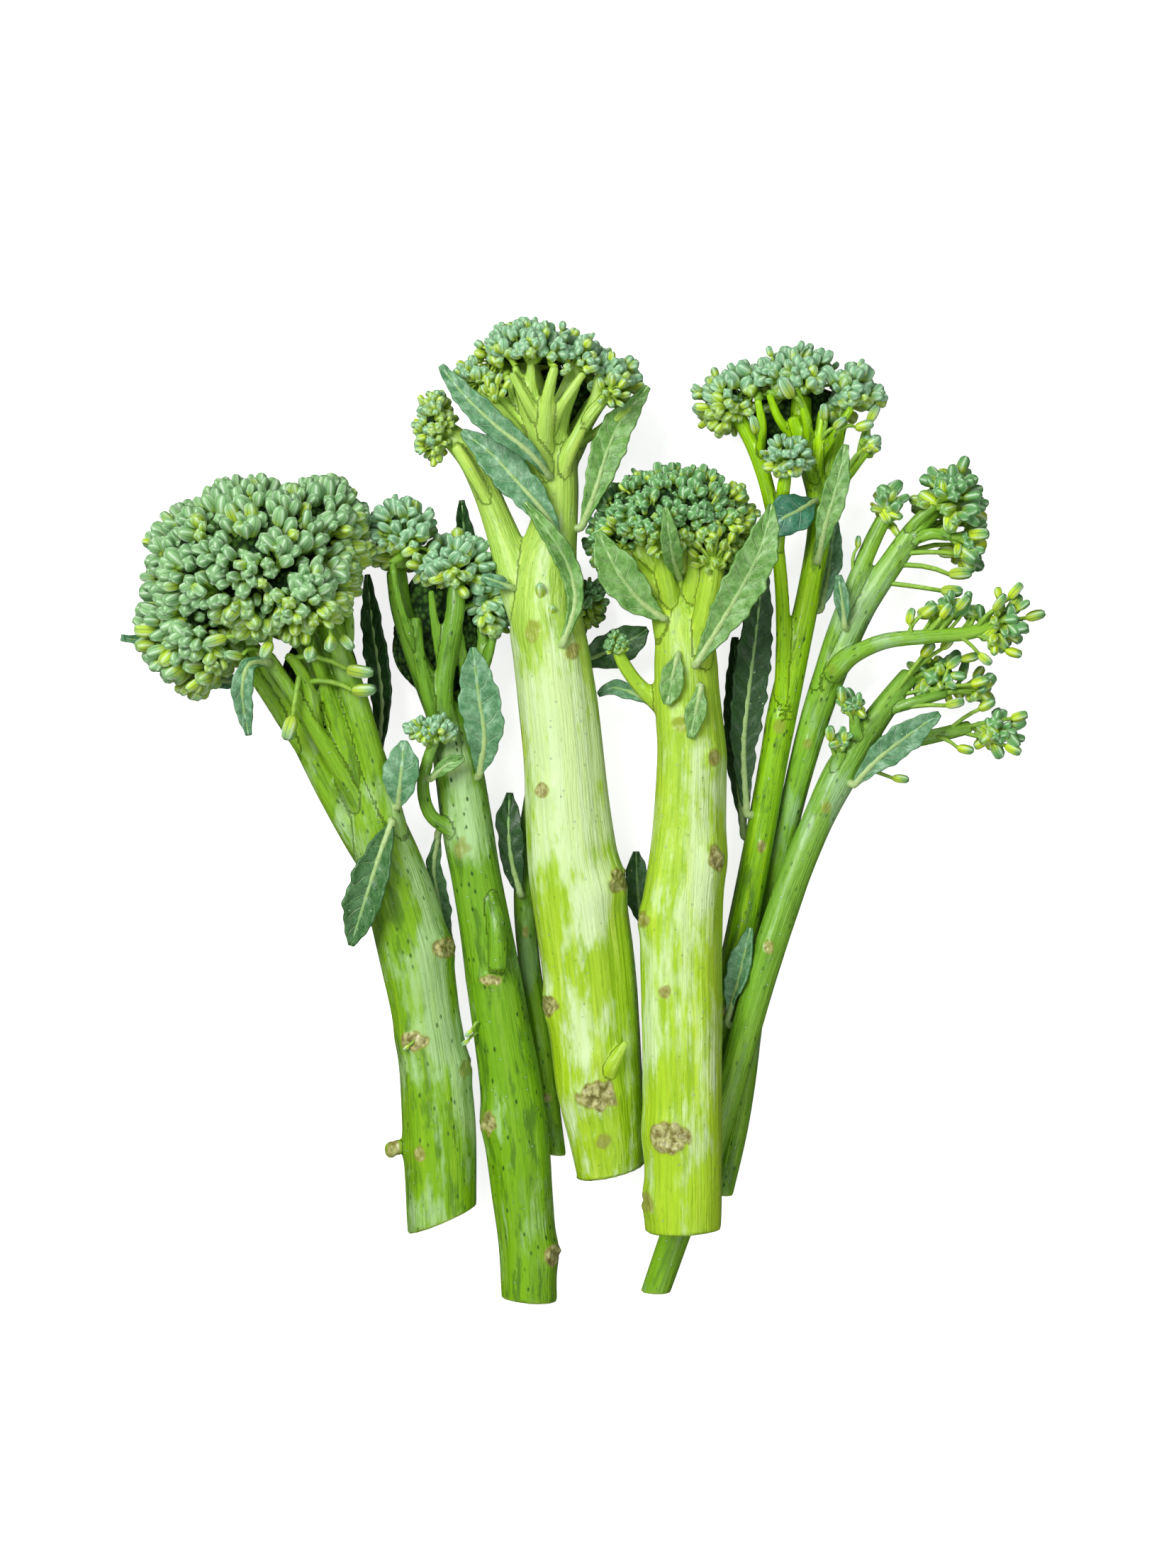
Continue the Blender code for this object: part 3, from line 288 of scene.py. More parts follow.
SCARS = {
    "spear_1": [(-24, -24.5, 3.4, 2.4, 0.9, 0.9), (-29.6, -41.5, 3.2, 2.5, 0.8, 0.9),
                (-28.4, -62.5, 1.4, 2.4, 0.3, 0.5), (-33.4, -62, 1.6, 1.8, 0.9, 0.6),
                (-20.6, -47, 1.6, 2.4, 0.6, 0.3), (-34.5, -14, 2.4, 3.6, 0.5, 0)],
    "spear_2": [(-15.6, -57, 2, 3, 0.9, 0.8), (-4.6, -81.5, 2, 2.8, 0.8, 0.9),
                (-15.4, -30.5, 3, 1.2, 0.5, 0.9), (-10.6, -67, 2.2, 3, 0.4, 0), (-20.8, -6, 2.2, 2.8, 0.5, 0.3),
                (-22.4, 8.4, 2.6, 2, 0.5, 0.2)],
    "spear_3": [(-5.6, 4.4, 2, 1.8, 0.6, 0.8), (7.4, -12.4, 2.2, 3.2, 1, 0.9), (4.8, -13.5, 2.6, 3.2, 0.7, 0),
                (4.4, -51.4, 4.9, 3.6, 1, 1), (4, -45.2, 2.4, 2.4, 0.7, 0.1), (-4.4, -35.2, 2, 3, 1, 0.9),
                (-7.6, 33.5, 2.6, 3, 0.7, 0.3), (-0.6, 29.8, 2, 2.2, 0.6, 0.5), (5.2, -60, 2, 2.6, 0.4, 0.4)],
    "spear_4": [(17.6, -58.6, 4.6, 3.6, 1, 1), (25.2, -8.2, 2.2, 3.4, 1, 0.8),
                (12.9, -19.2, 1.7, 2.4, 0.8, 0.5), (13.6, -70.6, 1.8, 2.6, 0.8, 0.4),
                (22.6, -38.4, 2.2, 3, 0.4, 0), (19.6, 16.4, 3, 2.2, 0.6, 0.3),
                (16.4, -32.4, 1.4, 1.8, 0.35, 0.5), (25.2, 10.4, 1.6, 2.2, 0.6, 0.5)],
    "spear_5": [(28.2, -36.6, 1.4, 1.7, 0.4, 0.6), (37.8, 16.4, 1.5, 2, 0.4, 0.3),
                (34.6, -6, 1.1, 1.6, 0.3, 0.6)],
    "spear_6": [(33.8, -28, 1, 1.4, 0.3, 0.6), (43, 13, 1.2, 1.8, 0.3, 0.3), (47.6, 27, 1.6, 1.8, 0.4, 0.2)],
    "spear_7": [(25.4, -61, 1.2, 1.7, 0.35, 0.7), (35.6, -24.6, 1.3, 1.8, 0.4, 0.5),
                (46.4, 1.4, 1.5, 2, 0.4, 0.3)],
    "spear_8": [(-5.6, -53, 1.5, 1.2, 0.4, 0.7), (-9.2, -22, 1, 1.6, 0.3, 0.5)],
}

TWIGS = {
    "spear_1": [
        [(-36, -3, 13.4, 2.6), (-41.2, 9, 15.4, 1.7), (-45.6, 20, 16.8, 1.5), (-49.6, 30, 18, 1.3),
         (-53, 37, 18.8, 1.2)],
        [(-38.2, 1, 15.4, 2), (-41.8, 12, 17.6, 1.5), (-45.2, 23, 19.4, 1.3), (-48.8, 33, 20.8, 1.2)],
        [(-45.6, 16, 18, 1.3), (-48.4, 23, 20.4, 1.2), (-50.6, 27.4, 21.6, 1.1), (-52.2, 29, 22, 0.9)],
        [(-31.6, -60.6, 8.2, 1.4), (-34.6, -62.4, 9.4, 1)],
        [(-44.6, 4, 12.4, 1.9), (-50.6, 13, 14.6, 1.5), (-57, 23, 17.6, 1.3), (-62.6, 31, 19.4, 1.2)],
        [(-41.8, 18, 18.8, 1.3), (-41.6, 26, 20.2, 1.1), (-41, 34, 20.6, 1), (-41.6, 40, 20.4, 0.9)],
    ],
    "spear_2": [
        [(-14.6, -12.5, 12, 1.7), (-14.4, -20, 12.8, 1.7), (-14.2, -28.4, 13.2, 1.75)],
        [(-23.2, 12, 11.6, 1.7), (-26.4, 20, 13.4, 1.3), (-28.4, 28, 14.2, 1.2), (-29.2, 36, 14.2, 1.1)],
        [(-21.4, 11, 7.4, 1.6), (-22, 22, 7.4, 1.3), (-24.4, 33, 8, 1.2), (-26, 42, 8.8, 1.1)],
        [(-20.6, 16, 9.6, 1.3), (-20.4, 26, 11.6, 1), (-21.4, 34, 12.8, 0.8), (-22.4, 40, 13.4, 0.7)],
        [(-27, 24, 12.8, 1.2), (-30, 32, 14.6, 0.9), (-32.4, 40, 15.4, 0.8), (-33.4, 46, 15.6, 0.7)],
        [(-18.4, 22, 9, 1.2), (-16, 29, 11, 0.9), (-14.6, 35, 11.8, 0.7)],
        [(-26, 27, 12.4, 1.1), (-25.6, 34, 14, 0.9), (-26.4, 41, 14.8, 0.7)],
    ],
    "spear_3": [
        [(-3.8, 58, 17.2, 1.9), (-5.8, 65, 19.4, 1.5), (-7.6, 71, 20.6, 1.3), (-9.6, 76, 21.2, 1.1),
         (-10.8, 81.5, 21.4, 0.8)],
        [(-3.2, 58, 17.4, 1.8), (-1.4, 65, 19, 1.4), (1.4, 71, 19.4, 1.2), (3.6, 76, 19.4, 1),
         (4.4, 80.5, 19.4, 0.8)],
        [(-3.2, 59, 13.4, 2), (-7.2, 66, 12.4, 1.6), (-11.8, 73, 12.6, 1.4), (-14.6, 78, 13.2, 1.2)],
        [(-4.6, 66, 17.6, 1.7), (-6.6, 72, 20.2, 1.4), (-7.8, 78, 21.8, 1.1), (-8, 82, 22.4, 0.8)],
        [(-2.8, 60, 12.8, 1.9), (0.6, 68, 11.4, 1.5), (3, 75, 11, 1.3)],
        [(4.6, -50.2, 15.4, 1.5), (6.6, -46.4, 16.6, 1.1), (9.4, -41.4, 17.4, 0.7)],
        [(-14.6, 55, 15.6, 1.5), (-18.6, 62, 16.4, 1.3), (-21.8, 67.4, 16.6, 1.2)],
        [(-5, 63, 18.6, 1.9), (-5.4, 70, 21.2, 1.5), (-4.8, 76, 23.2, 1.2), (-3.6, 81, 24.2, 0.9)],
        [(-5.4, 68, 20.6, 1.4), (-8.2, 74, 22.8, 1), (-11.4, 80, 23.4, 0.8)],
        [(-5.2, 69, 21, 1.3), (-2, 74.6, 22.8, 1), (1.6, 80, 23, 0.8)],
        [(-1.4, 65, 18, 1.4), (2.4, 72, 20, 1.1), (6.4, 76.6, 20, 0.8)],
        [(-8.4, 67, 19.2, 1.4), (-12.6, 72, 21.2, 1.1), (-16.8, 76.4, 21, 0.8)],
        [(-8.8, 69, 17.4, 1.4), (-10.4, 75, 18.8, 1.1), (-12.4, 80, 19.4, 0.9)],
        [(0.4, 67, 15.4, 1.3), (6, 71.4, 17, 1), (10.2, 74.4, 16.8, 0.8)],
    ],
    "spear_4": [
        [(18.6, 35, 17, 2.2), (16.8, 42, 19.2, 1.7), (15.2, 48.5, 20.4, 1.1)],
        [(20.6, 35, 17, 2), (21.4, 42, 19, 1.5), (21.8, 48.5, 20.4, 1)],
        [(18, 34, 13, 2), (14.8, 42, 11.4, 1.6), (12.2, 49, 10.6, 1.3)],
        [(21.4, 33, 13.4, 2), (24.6, 41, 12.4, 1.6), (27, 48, 12, 1.3)],
        [(16.8, 38, 17.6, 1.8), (12.6, 43.4, 19, 1.4), (9, 47, 19, 1.2)],
    ],
    "spear_5": [
        [(44.8, 60, 12, 1.7), (42.6, 66, 14, 1.4), (40.2, 73, 15.2, 1.2)],
        [(43.6, 64, 9, 1.6), (40, 70, 8.4, 1.3), (36.8, 75.6, 8.6, 1.2)],
        [(44.6, 61, 12.8, 1.4), (44.8, 68, 14.8, 1.2), (45.6, 74, 15.2, 1.1)],
        [(44.4, 64, 13.2, 1.2), (47.6, 69.6, 16.4, 0.9), (50.6, 74.4, 17, 0.7)],
        [(43.4, 66, 14, 1.2), (42.4, 72, 17.6, 0.9), (40.4, 77.4, 18.6, 0.7)],
        [(34.6, 65, 12.2, 1.1), (34.4, 71, 14.6, 0.9), (33.6, 76, 15.4, 0.7)],
        [(41.4, 67, 12.4, 1.2), (37.8, 72, 15, 0.9), (35.6, 77, 16, 0.7)],
    ],
    "spear_6": [
        [(60.8, 49.6, 11.6, 1.4), (65.4, 51.6, 13.2, 1.1), (69, 51.2, 13.6, 1)],
        [(60, 48, 10.4, 1.4), (62.4, 53.4, 12.2, 1.1), (66.2, 57, 13.4, 1)],
    ],
    "spear_7": [[(56.6, 18.6, 9.6, 1.4), (62.4, 20.6, 10.6, 1.1), (68.6, 22.4, 10.8, 1)]],
    "spear_8": [],
}

LONE_BUDS = {
    "spear_1": [
        [(-49.8, 25.2, 22), (-51.6, 15.6, 22.6, 4.8)],
        [(-50.5, 29.6, 23), (-38.9, 25.9, 24.2, 4.7)],
        [(-48.4, 24, 21.4), (-38, 22.6, 23.4, 4.7)],
        [(-29.2, -41.4, 14), (-31, -42.8, 14.6, 1.5)],
        [(-64, 36, 20), (-74, 32.4, 22, 3.6)],
        [(-63, 35, 20), (-71.4, 27.6, 19, 4.2)],
        [(-62, 34, 19), (-68.6, 22.4, 17, 3.6)],
        [(-60, 32, 20), (-65.6, 24.6, 21, 4)],
        [(-58, 33, 24), (-61.4, 28.6, 27, 3.8)],
        [(-53, 35, 26), (-55.2, 29.6, 29, 3.8)],
        [(-50, 34, 26), (-47.2, 28.8, 29.6, 4.2)],
        [(-57, 33, 26), (-64.4, 31.4, 28.4, 4)],
        [(-63, 36, 22), (-69, 32, 26, 3.8)],
        [(-46, 38, 24), (-41, 31, 27.4, 3.8)],
        [(-47, 38, 26), (-43.6, 30.6, 30.6, 3.6)],
        [(-61, 33, 19), (-73.6, 36.6, 27, 3.6)],
    ],
    "spear_2": [
        [(-17.6, -38.4, 10.6), (-19.6, -40.4, 10.8, 1.8)],
        [(-17.8, -40.4, 9.4), (-20.3, -42.2, 9.4, 1.6)],
    ],
    "spear_3": [
        [(-5, 33, 20.6), (-6.2, 40.6, 22, 3.4)],
        [(-4.4, 32, 20.6), (-4.2, 37.2, 21.8, 2.4)],
        [(-14.4, 75, 20.6), (-15.8, 78.4, 23.2, 2.2), (-13.8, 78.8, 23.8, 2.3), (-12.2, 78, 23.2, 2.2),
         (-14.8, 77, 23.6, 2.3), (-13, 76.4, 23, 2.1), (-16.4, 77, 22.8, 2.1), (-14.6, 75.4, 22.8, 2)],
        [(6, 75, 19.6), (4.8, 78.2, 22.4, 2.2), (6.8, 78.8, 23.2, 2.3), (8.6, 78.2, 22.6, 2.2),
         (5.6, 76.4, 23, 2.2), (7.6, 76.4, 23.2, 2.3), (9.2, 76.2, 22, 2.1), (6.6, 74.6, 22.2, 2.1),
         (8.2, 74.6, 21.8, 2), (4.8, 75.2, 21.8, 2)],
    ],
    "spear_4": [
        [(25.2, 44, 20.8), (21.4, 47.4, 23, 2.3), (23.2, 46.2, 24.2, 2.2), (25.4, 45.4, 24.6, 2.4)],
        [(25.2, 44.2, 20.8), (27.6, 46.8, 24, 2.2)],
        [(25.2, 44.6, 20.8), (22.2, 49, 24.4, 2.3), (24.4, 48.2, 25.4, 2.4), (26.8, 48.6, 25.2, 2.3)],
        [(25.2, 45, 20.8), (28.4, 50.2, 24.2, 2.2)],
        [(25.2, 44.6, 20.8), (20.6, 49.4, 22.4, 2.2)],
        [(25.2, 45, 20.8), (23.2, 51, 25.2, 2.3), (26, 51.2, 25.8, 2.3)],
        [(25.2, 44, 20.8), (21.8, 45.4, 22, 2), (24.2, 44.2, 23.4, 2.1), (26.8, 45, 22.8, 2)],
    ],
    "spear_5": [
        [(49.4, 58.2, 12.4), (54.4, 68.2, 14.2, 4.2)],
        [(40.2, 72, 18.4), (38.4, 77.6, 20.8, 4.6)],
        [(50, 66, 13), (54.8, 73.6, 14.6, 3.6)],
        [(48, 68, 14.4), (53, 71.2, 16.4, 3.4)],
        [(46, 68, 14.8), (48.4, 71.6, 17.6, 3.2)],
        [(36, 66, 13), (33, 71.4, 15, 3.4)],
        [(44, 68, 14), (45.6, 73.6, 18, 3.2)],
        [(50, 66, 12), (56, 76.6, 13, 3.6)],
    ],
    "spear_6": [
        [(62, 51, 12), (74.4, 51.6, 13.4, 4.2)],
        [(60, 48, 12), (72.6, 48, 13, 4)],
        [(59, 45, 12), (71, 44.4, 13, 4.4)],
        [(57, 42, 12.6), (69.4, 41, 14, 4)],
        [(50.6, 43, 11.6), (52.2, 50.2, 12.4, 2.2)],
        [(61, 31.8, 17), (64.8, 37.4, 17.6, 3.4)],
        [(69, 33, 17.4), (75, 28.4, 17.2, 3)],
        [(66, 32.8, 17.6), (70.8, 38.6, 18.4, 3.4)],
        [(58, 31.8, 16.4), (61.4, 36.4, 17, 3.2)],
        [(74, 33.6, 17.4), (80.6, 41, 17.4, 3.8)],
        [(75, 33.8, 17.2), (84.2, 36.4, 16.8, 3.6)],
        [(72, 33.2, 17.2), (80.4, 29.6, 16.6, 3.4)],
        [(64, 32.6, 17.4), (67.6, 37.2, 19, 3.2)],
        [(73, 33.4, 17.4), (77.4, 38.6, 19.4, 3.6)],
    ],
    "spear_7": [
        [(54, 5.4, 10.6), (60.2, 6.6, 11, 3.2)],
        [(58, 20, 10.4), (65, 30.4, 13, 3.4)],
        [(60, 23, 10), (68.6, 31.6, 13.4, 3.4)],
        [(61, 24, 9.6), (73, 29, 11.6, 3.6)],
        [(57, 18, 10.8), (70, 20.4, 13.4, 3.6)],
        [(60, 21, 10.4), (74.6, 24.4, 12.4, 3.4)],
        [(66, 14.6, 7.6), (72.4, 12, 9, 3.2)],
        [(69, 15.2, 7.4), (76.2, 20.2, 10, 3.2)],
        [(71, 15.6, 7.4), (82.6, 18.2, 8.4, 3.4), (81.4, 12, 8, 3.4)],
        [(50.4, 9.4, 12), (46.8, 15, 14.6, 3.2)],
        [(53, 14, 11.4), (49, 22, 14.2, 3.2)],
    ],
}

REACH = {
    "spear_1_crown": (3.9, 2.1, 8, 1.3, -0.6),
    "spear_2_crown": (3.4, 1.9, 6.5, 1.6, (-0.6, -0.55, -0.8)),
    "spear_2_side_buds": (2.4, 1.4, 4, 0.5, -0.9),
    "spear_3_crown": (2.3, 1.45, 4.8, 1.7, (-0.25, -0.42, -0.85, -0.85)),
    "spear_3_side_crown": (2, 1.35, 4.6, 1.1, -0.7),
    "spear_4_crown": (2.3, 1.45, 5, 1.7, (-0.5, -0.9, -0.8)),
    "spear_4_side_buds": (1.5, 1, 4, 0.4, -0.9),
    "spear_5_crown": (2.9, 1.75, 5.6, 1.6, (-0.45, -0.45, -0.5, -0.9)),
    "spear_5_front_buds": (2.5, 1.6, 4.5, 0.7, -0.9),
    "spear_5_side_bud": (1.8, 1.4, 5, 0.2, -0.9),
    "spear_6_crown": (4, 2.6, 7, 0.6, -0.45),
    "spear_6_left_crown": (3.4, 2.2, 6, 0.6, -0.5),
    "spear_6_right_crown": (3.5, 2.5, 6.5, 0.6, -0.95),
    "spear_7_crown": (3.5, 2.5, 6.5, 0.6, -0.9),
    "spear_7_right_crown": (3.2, 2.4, 6, 0.6, -0.9),
    "spear_7_low_buds": (2.2, 1.4, 5, 0.3, -0.9),
    "spear_7_left_buds": (2.5, 1.5, 5, 0.3, -0.9),
    "spear_8_crown": (2.4, 1.5, 5.6, 0.8, -0.8),
}
RIPE = {
    "spear_3": 0.7,
    "spear_4": 0.85,
    "spear_3_crown": (0, 0, 0.35, 0.5),
    "spear_3_side_crown": 0.6,
    "spear_4_crown": (0, 0.1, 0.7),
    "spear_5_crown": (0, 0, 0.1, 0.4),
}
SHADED_HEARTS = {
    "spear_1": (-47, 22, 12, 7, 12, 4),
    "spear_2": (-25, 34, 8, 8, 12, 3.5),
    "spear_3": (-6.5, 75, 12, 9.5, 7, 3.5),
    "spear_4": (19.5, 44, 12.5, 9, 8, 3.5),
    "spear_5": (41.5, 73, 8, 8, 7, 3),
}
WAX = {
    "spear_1": [0.12, (-25, -40, 6, 10, 0.75), (-21, -52, 4, 9, 0.35), (-27, -14, 4, 12, 0.45),
                (-41, -8, 3, 8, 0.3), (-34, -26, 4, 6, 0.2), (-28, -64, 8, 6, -0.3)],
    "spear_2": [-0.14, (-18, -2, 5, 10, 0.7), (-21, 10, 4, 9, 0.6), (-9, -62, 4, 8, 0.25),
                (-5, -73, 4, 6, 0.2), (-12, -40, 3, 6, 0.2)],
    "spear_3": [0.25, (-4, 36, 6, 12, 0.2), (-2, 16, 8, 12, 0.55), (-1, 0, 8, 8, 0.55), (4, -16, 5, 6, 0.4),
                (-5, -16, 4, 9, -0.25), (8, -28, 5, 8, -0.5), (1, -38, 5, 7, 0.35), (7, -54, 7, 7, -0.25),
                (-4, 68, 22, 14, -0.7), (-16, 52, 4, 9, -0.5), (3, 30, 3, 14, -0.3)],
    "spear_4": [0.1, (23, -14, 3, 14, 0.5), (16, -40, 5, 12, 0.6), (25, -44, 3, 12, 0.45),
                (20, 18, 5, 9, -0.3), (18, -70, 7, 6, -0.3), (24, 4, 3, 8, 0.3), (20, 46, 14, 14, -0.8),
                (20, -28, 3, 12, -0.3)],
    "spear_5": [-0.3, (34, -4, 3, 8, 0.2)],
    "spear_6": [0, (52, 38, 8, 12, 0.5), (40, 2, 4, 8, 0.2)],
    "spear_7": [-0.15, (48, 4, 8, 12, 0.55), (36, -26, 6, 14, -0.2)],
    "spear_8": [0.1],
}
RACEMES = ("spear_6", "spear_7")  # their buds stand on long stalks of their own, all along the branch ends

# %% [markdown]
# ## Fitting the routes to the CAD
# The CAD model is centred on the origin, and each spear was let down until it rested on the ones below. So each
# spear's routes are shifted until the box round its own tubes has the same middle as the box of its CAD stem.
# The sideways shift is the same for all, so its median is used.

# %% Routes and their fit
TUBE_STEP_MM = 0.5  # between the rings of a tube


def smooth_route(knots, spacing):
    """Points about `spacing` apart on a Catmull-Rom curve through the knots: for each stretch, a cubic in t
    whose slope at a knot is half the way from the knot before to the knot after."""
    knots = np.asarray(knots, float)
    padded = np.vstack([2 * knots[0] - knots[1], knots, 2 * knots[-1] - knots[-2]])
    found = [knots[:1]]
    for before, start, end, after in zip(padded, padded[1:], padded[2:], padded[3:]):
        steps = max(1, round(np.linalg.norm((end - start)[:3]) / spacing))
        t = np.arange(1, steps + 1)[:, None] / steps
        found.append(0.5 * (2 * start + (end - before) * t + (2 * before - 5 * start + 4 * end - after) * t ** 2
                            + (3 * start - before - 3 * end + after) * t ** 3))
    return np.vstack(found)


def unit(vectors):
    """Each vector over its own length."""
    return vectors / np.maximum(np.linalg.norm(vectors, axis=-1, keepdims=True), 1e-9)


def directions(route):
    """Unit directions along a route, from the difference of each point's neighbours."""
    return unit(np.gradient(route[:, :3], axis=0))


def run_along(route):
    """Length of the route from its start to each of its points."""
    return np.cumsum(np.r_[0, np.linalg.norm(np.diff(route[:, :3], axis=0), axis=1)])


def tube_box(route):
    """Corners of the box round a tube: centre -+ radius x sqrt(1 - direction^2), along each axis."""
    reach = route[:, 3:] * np.sqrt(1 - directions(route) ** 2)
    return (route[:, :3] - reach).min(axis=0), (route[:, :3] + reach).max(axis=0)


def box_middle(boxes):
    """Middle of the box round several boxes."""
    return (np.min([low for low, _ in boxes], axis=0) + np.max([high for _, high in boxes], axis=0)) / 2


tubes, shifts = {}, {}
for name, plan in SPEARS.items():
    tubes[name] = [np.array(plan["stem"], float) * (1, 1, 1, plan["radius"])]
    tubes[name] += [np.array(branch, float) for branch in plan["branches"]]
    cad_low, cad_high = (np.array(corner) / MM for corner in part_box(name + "_stem"))
    boxes = [tube_box(smooth_route(knots, TUBE_STEP_MM)) for knots in tubes[name]]
    shifts[name] = (cad_low + cad_high) / 2 - box_middle(boxes)
sideways = np.median([shift[:2] for shift in shifts.values()], axis=0)
for name, shift in shifts.items():
    shift[:2] = sideways
    tubes[name] = [np.hstack([knots[:, :3] + shift, knots[:, 3:]]) for knots in tubes[name]]
balls = np.vstack([smooth_route(knots, 1.0) for name in tubes for knots in tubes[name]])
print("sideways shift, mm:", sideways.round(2), "rise of each spear, mm:",
      {name: round(float(shift[2]), 2) for name, shift in shifts.items()})


# %% [markdown]
# ## Putting surfaces into meshes
# Every new surface is worked out as arrays of points in millimetres. A grid of points, rows along and columns
# round or across, becomes a mesh of four-sided faces. If the columns run all the way round, the last joins the
# first, and a pole closes each end.

# %% From arrays to a mesh
def grid_faces(rows, columns, closed):
    """Four-sided faces of a grid of points: each joins a point, the next in its row, and the same two in the
    next row. On a closed grid the last column joins the first."""
    row, column = np.meshgrid(np.arange(rows - 1), np.arange(columns if closed else columns - 1), indexing="ij")
    beside = (column + 1) % columns
    return np.stack([row * columns + column, row * columns + beside, (row + 1) * columns + beside,
                     (row + 1) * columns + column], axis=-1).reshape(-1, 4)


def pole_faces(rows, columns):
    """Three-sided faces that close both ends of a closed grid. Its poles come after the grid's own points."""
    here = np.arange(columns)
    beside = (here + 1) % columns
    first = np.stack([np.full(columns, rows * columns), beside, here], axis=-1)
    last = np.stack([np.full(columns, rows * columns + 1), here + (rows - 1) * columns,
                     beside + (rows - 1) * columns], axis=-1)
    return np.vstack([first, last])


def repeated_faces(count, rows, columns):
    """The faces of `count` closed grids of one kind. The points of each grid end with its two poles."""
    start = (np.arange(count) * (rows * columns + 2))[:, None, None]
    return ((grid_faces(rows, columns, True)[None] + start).reshape(-1, 4),
            (pole_faces(rows, columns)[None] + start).reshape(-1, 3))


def new_mesh(name, points, quads, triangles=np.empty((0, 3), int), tones=None):
    """A smooth-shaded mesh from points in millimetres. `tones` holds one value, or three, for each point."""
    mesh = bpy.data.meshes.new(name)
    corners = np.concatenate([quads.ravel(), triangles.ravel()]).astype(np.int32)
    starts = np.concatenate([np.arange(len(quads)) * 4, len(quads) * 4 + np.arange(len(triangles)) * 3])
    mesh.vertices.add(len(points))
    mesh.vertices.foreach_set("co", (points * MM).astype(np.float32).ravel())
    mesh.loops.add(len(corners))
    mesh.loops.foreach_set("vertex_index", corners)
    mesh.polygons.add(len(starts))
    mesh.polygons.foreach_set("loop_start", starts.astype(np.int32))
    mesh.update(calc_edges=True)
    mesh.validate()
    mesh.shade_smooth()
    set_tones(mesh, tones or {})
    return mesh


def set_tones(mesh, tones):
    """Stores each array as an attribute of the mesh's points, for its finish to read."""
    for name, values in tones.items():
        plain = np.ndim(values) == 1
        layer = mesh.attributes.new(name, "FLOAT" if plain else "FLOAT_VECTOR", "POINT")
        layer.data.foreach_set("value" if plain else "vector", np.asarray(values, np.float32).ravel())


def place(name, mesh, finishes, slot, *nodes):
    """The mesh as a piece of the bunch: it rides with it, and stands for its CAD nodes."""
    piece = bpy.data.objects.new(name, mesh)
    bpy.context.scene.collection.objects.link(piece)
    for finish in finishes:
        mesh.materials.append(finish)
    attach(piece, "root")
    if nodes:
        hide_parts(*nodes)


def smoothstep(low, high, values):
    """0 below low, 1 above high, and 3t^2 - 2t^3 between them."""
    t = np.clip((values - low) / (high - low), 0, 1)
    return t * t * (3 - 2 * t)


print("helpers ready")


# %% [markdown]
# ## Finishes
# The skin of a broccolini stem is a bright yellow-green under a thin grey-white bloom of wax, which handling
# has rubbed away in streaks along the stem. Fine fibres run lengthways, and the lower stems carry dark specks.
# A pattern that has to follow a bent stem can't use plain position, because the streaks would cross the stem
# at its bends. So each skin carries an attribute called grain: the same point on a straightened stem. Noise
# that is squeezed along the grain's third number gives fibres at any bend.

# %% Node helpers
# cell size of the painted highlights and dark rims of water drops
DEW_GLINT_GAP_MM = 1.15


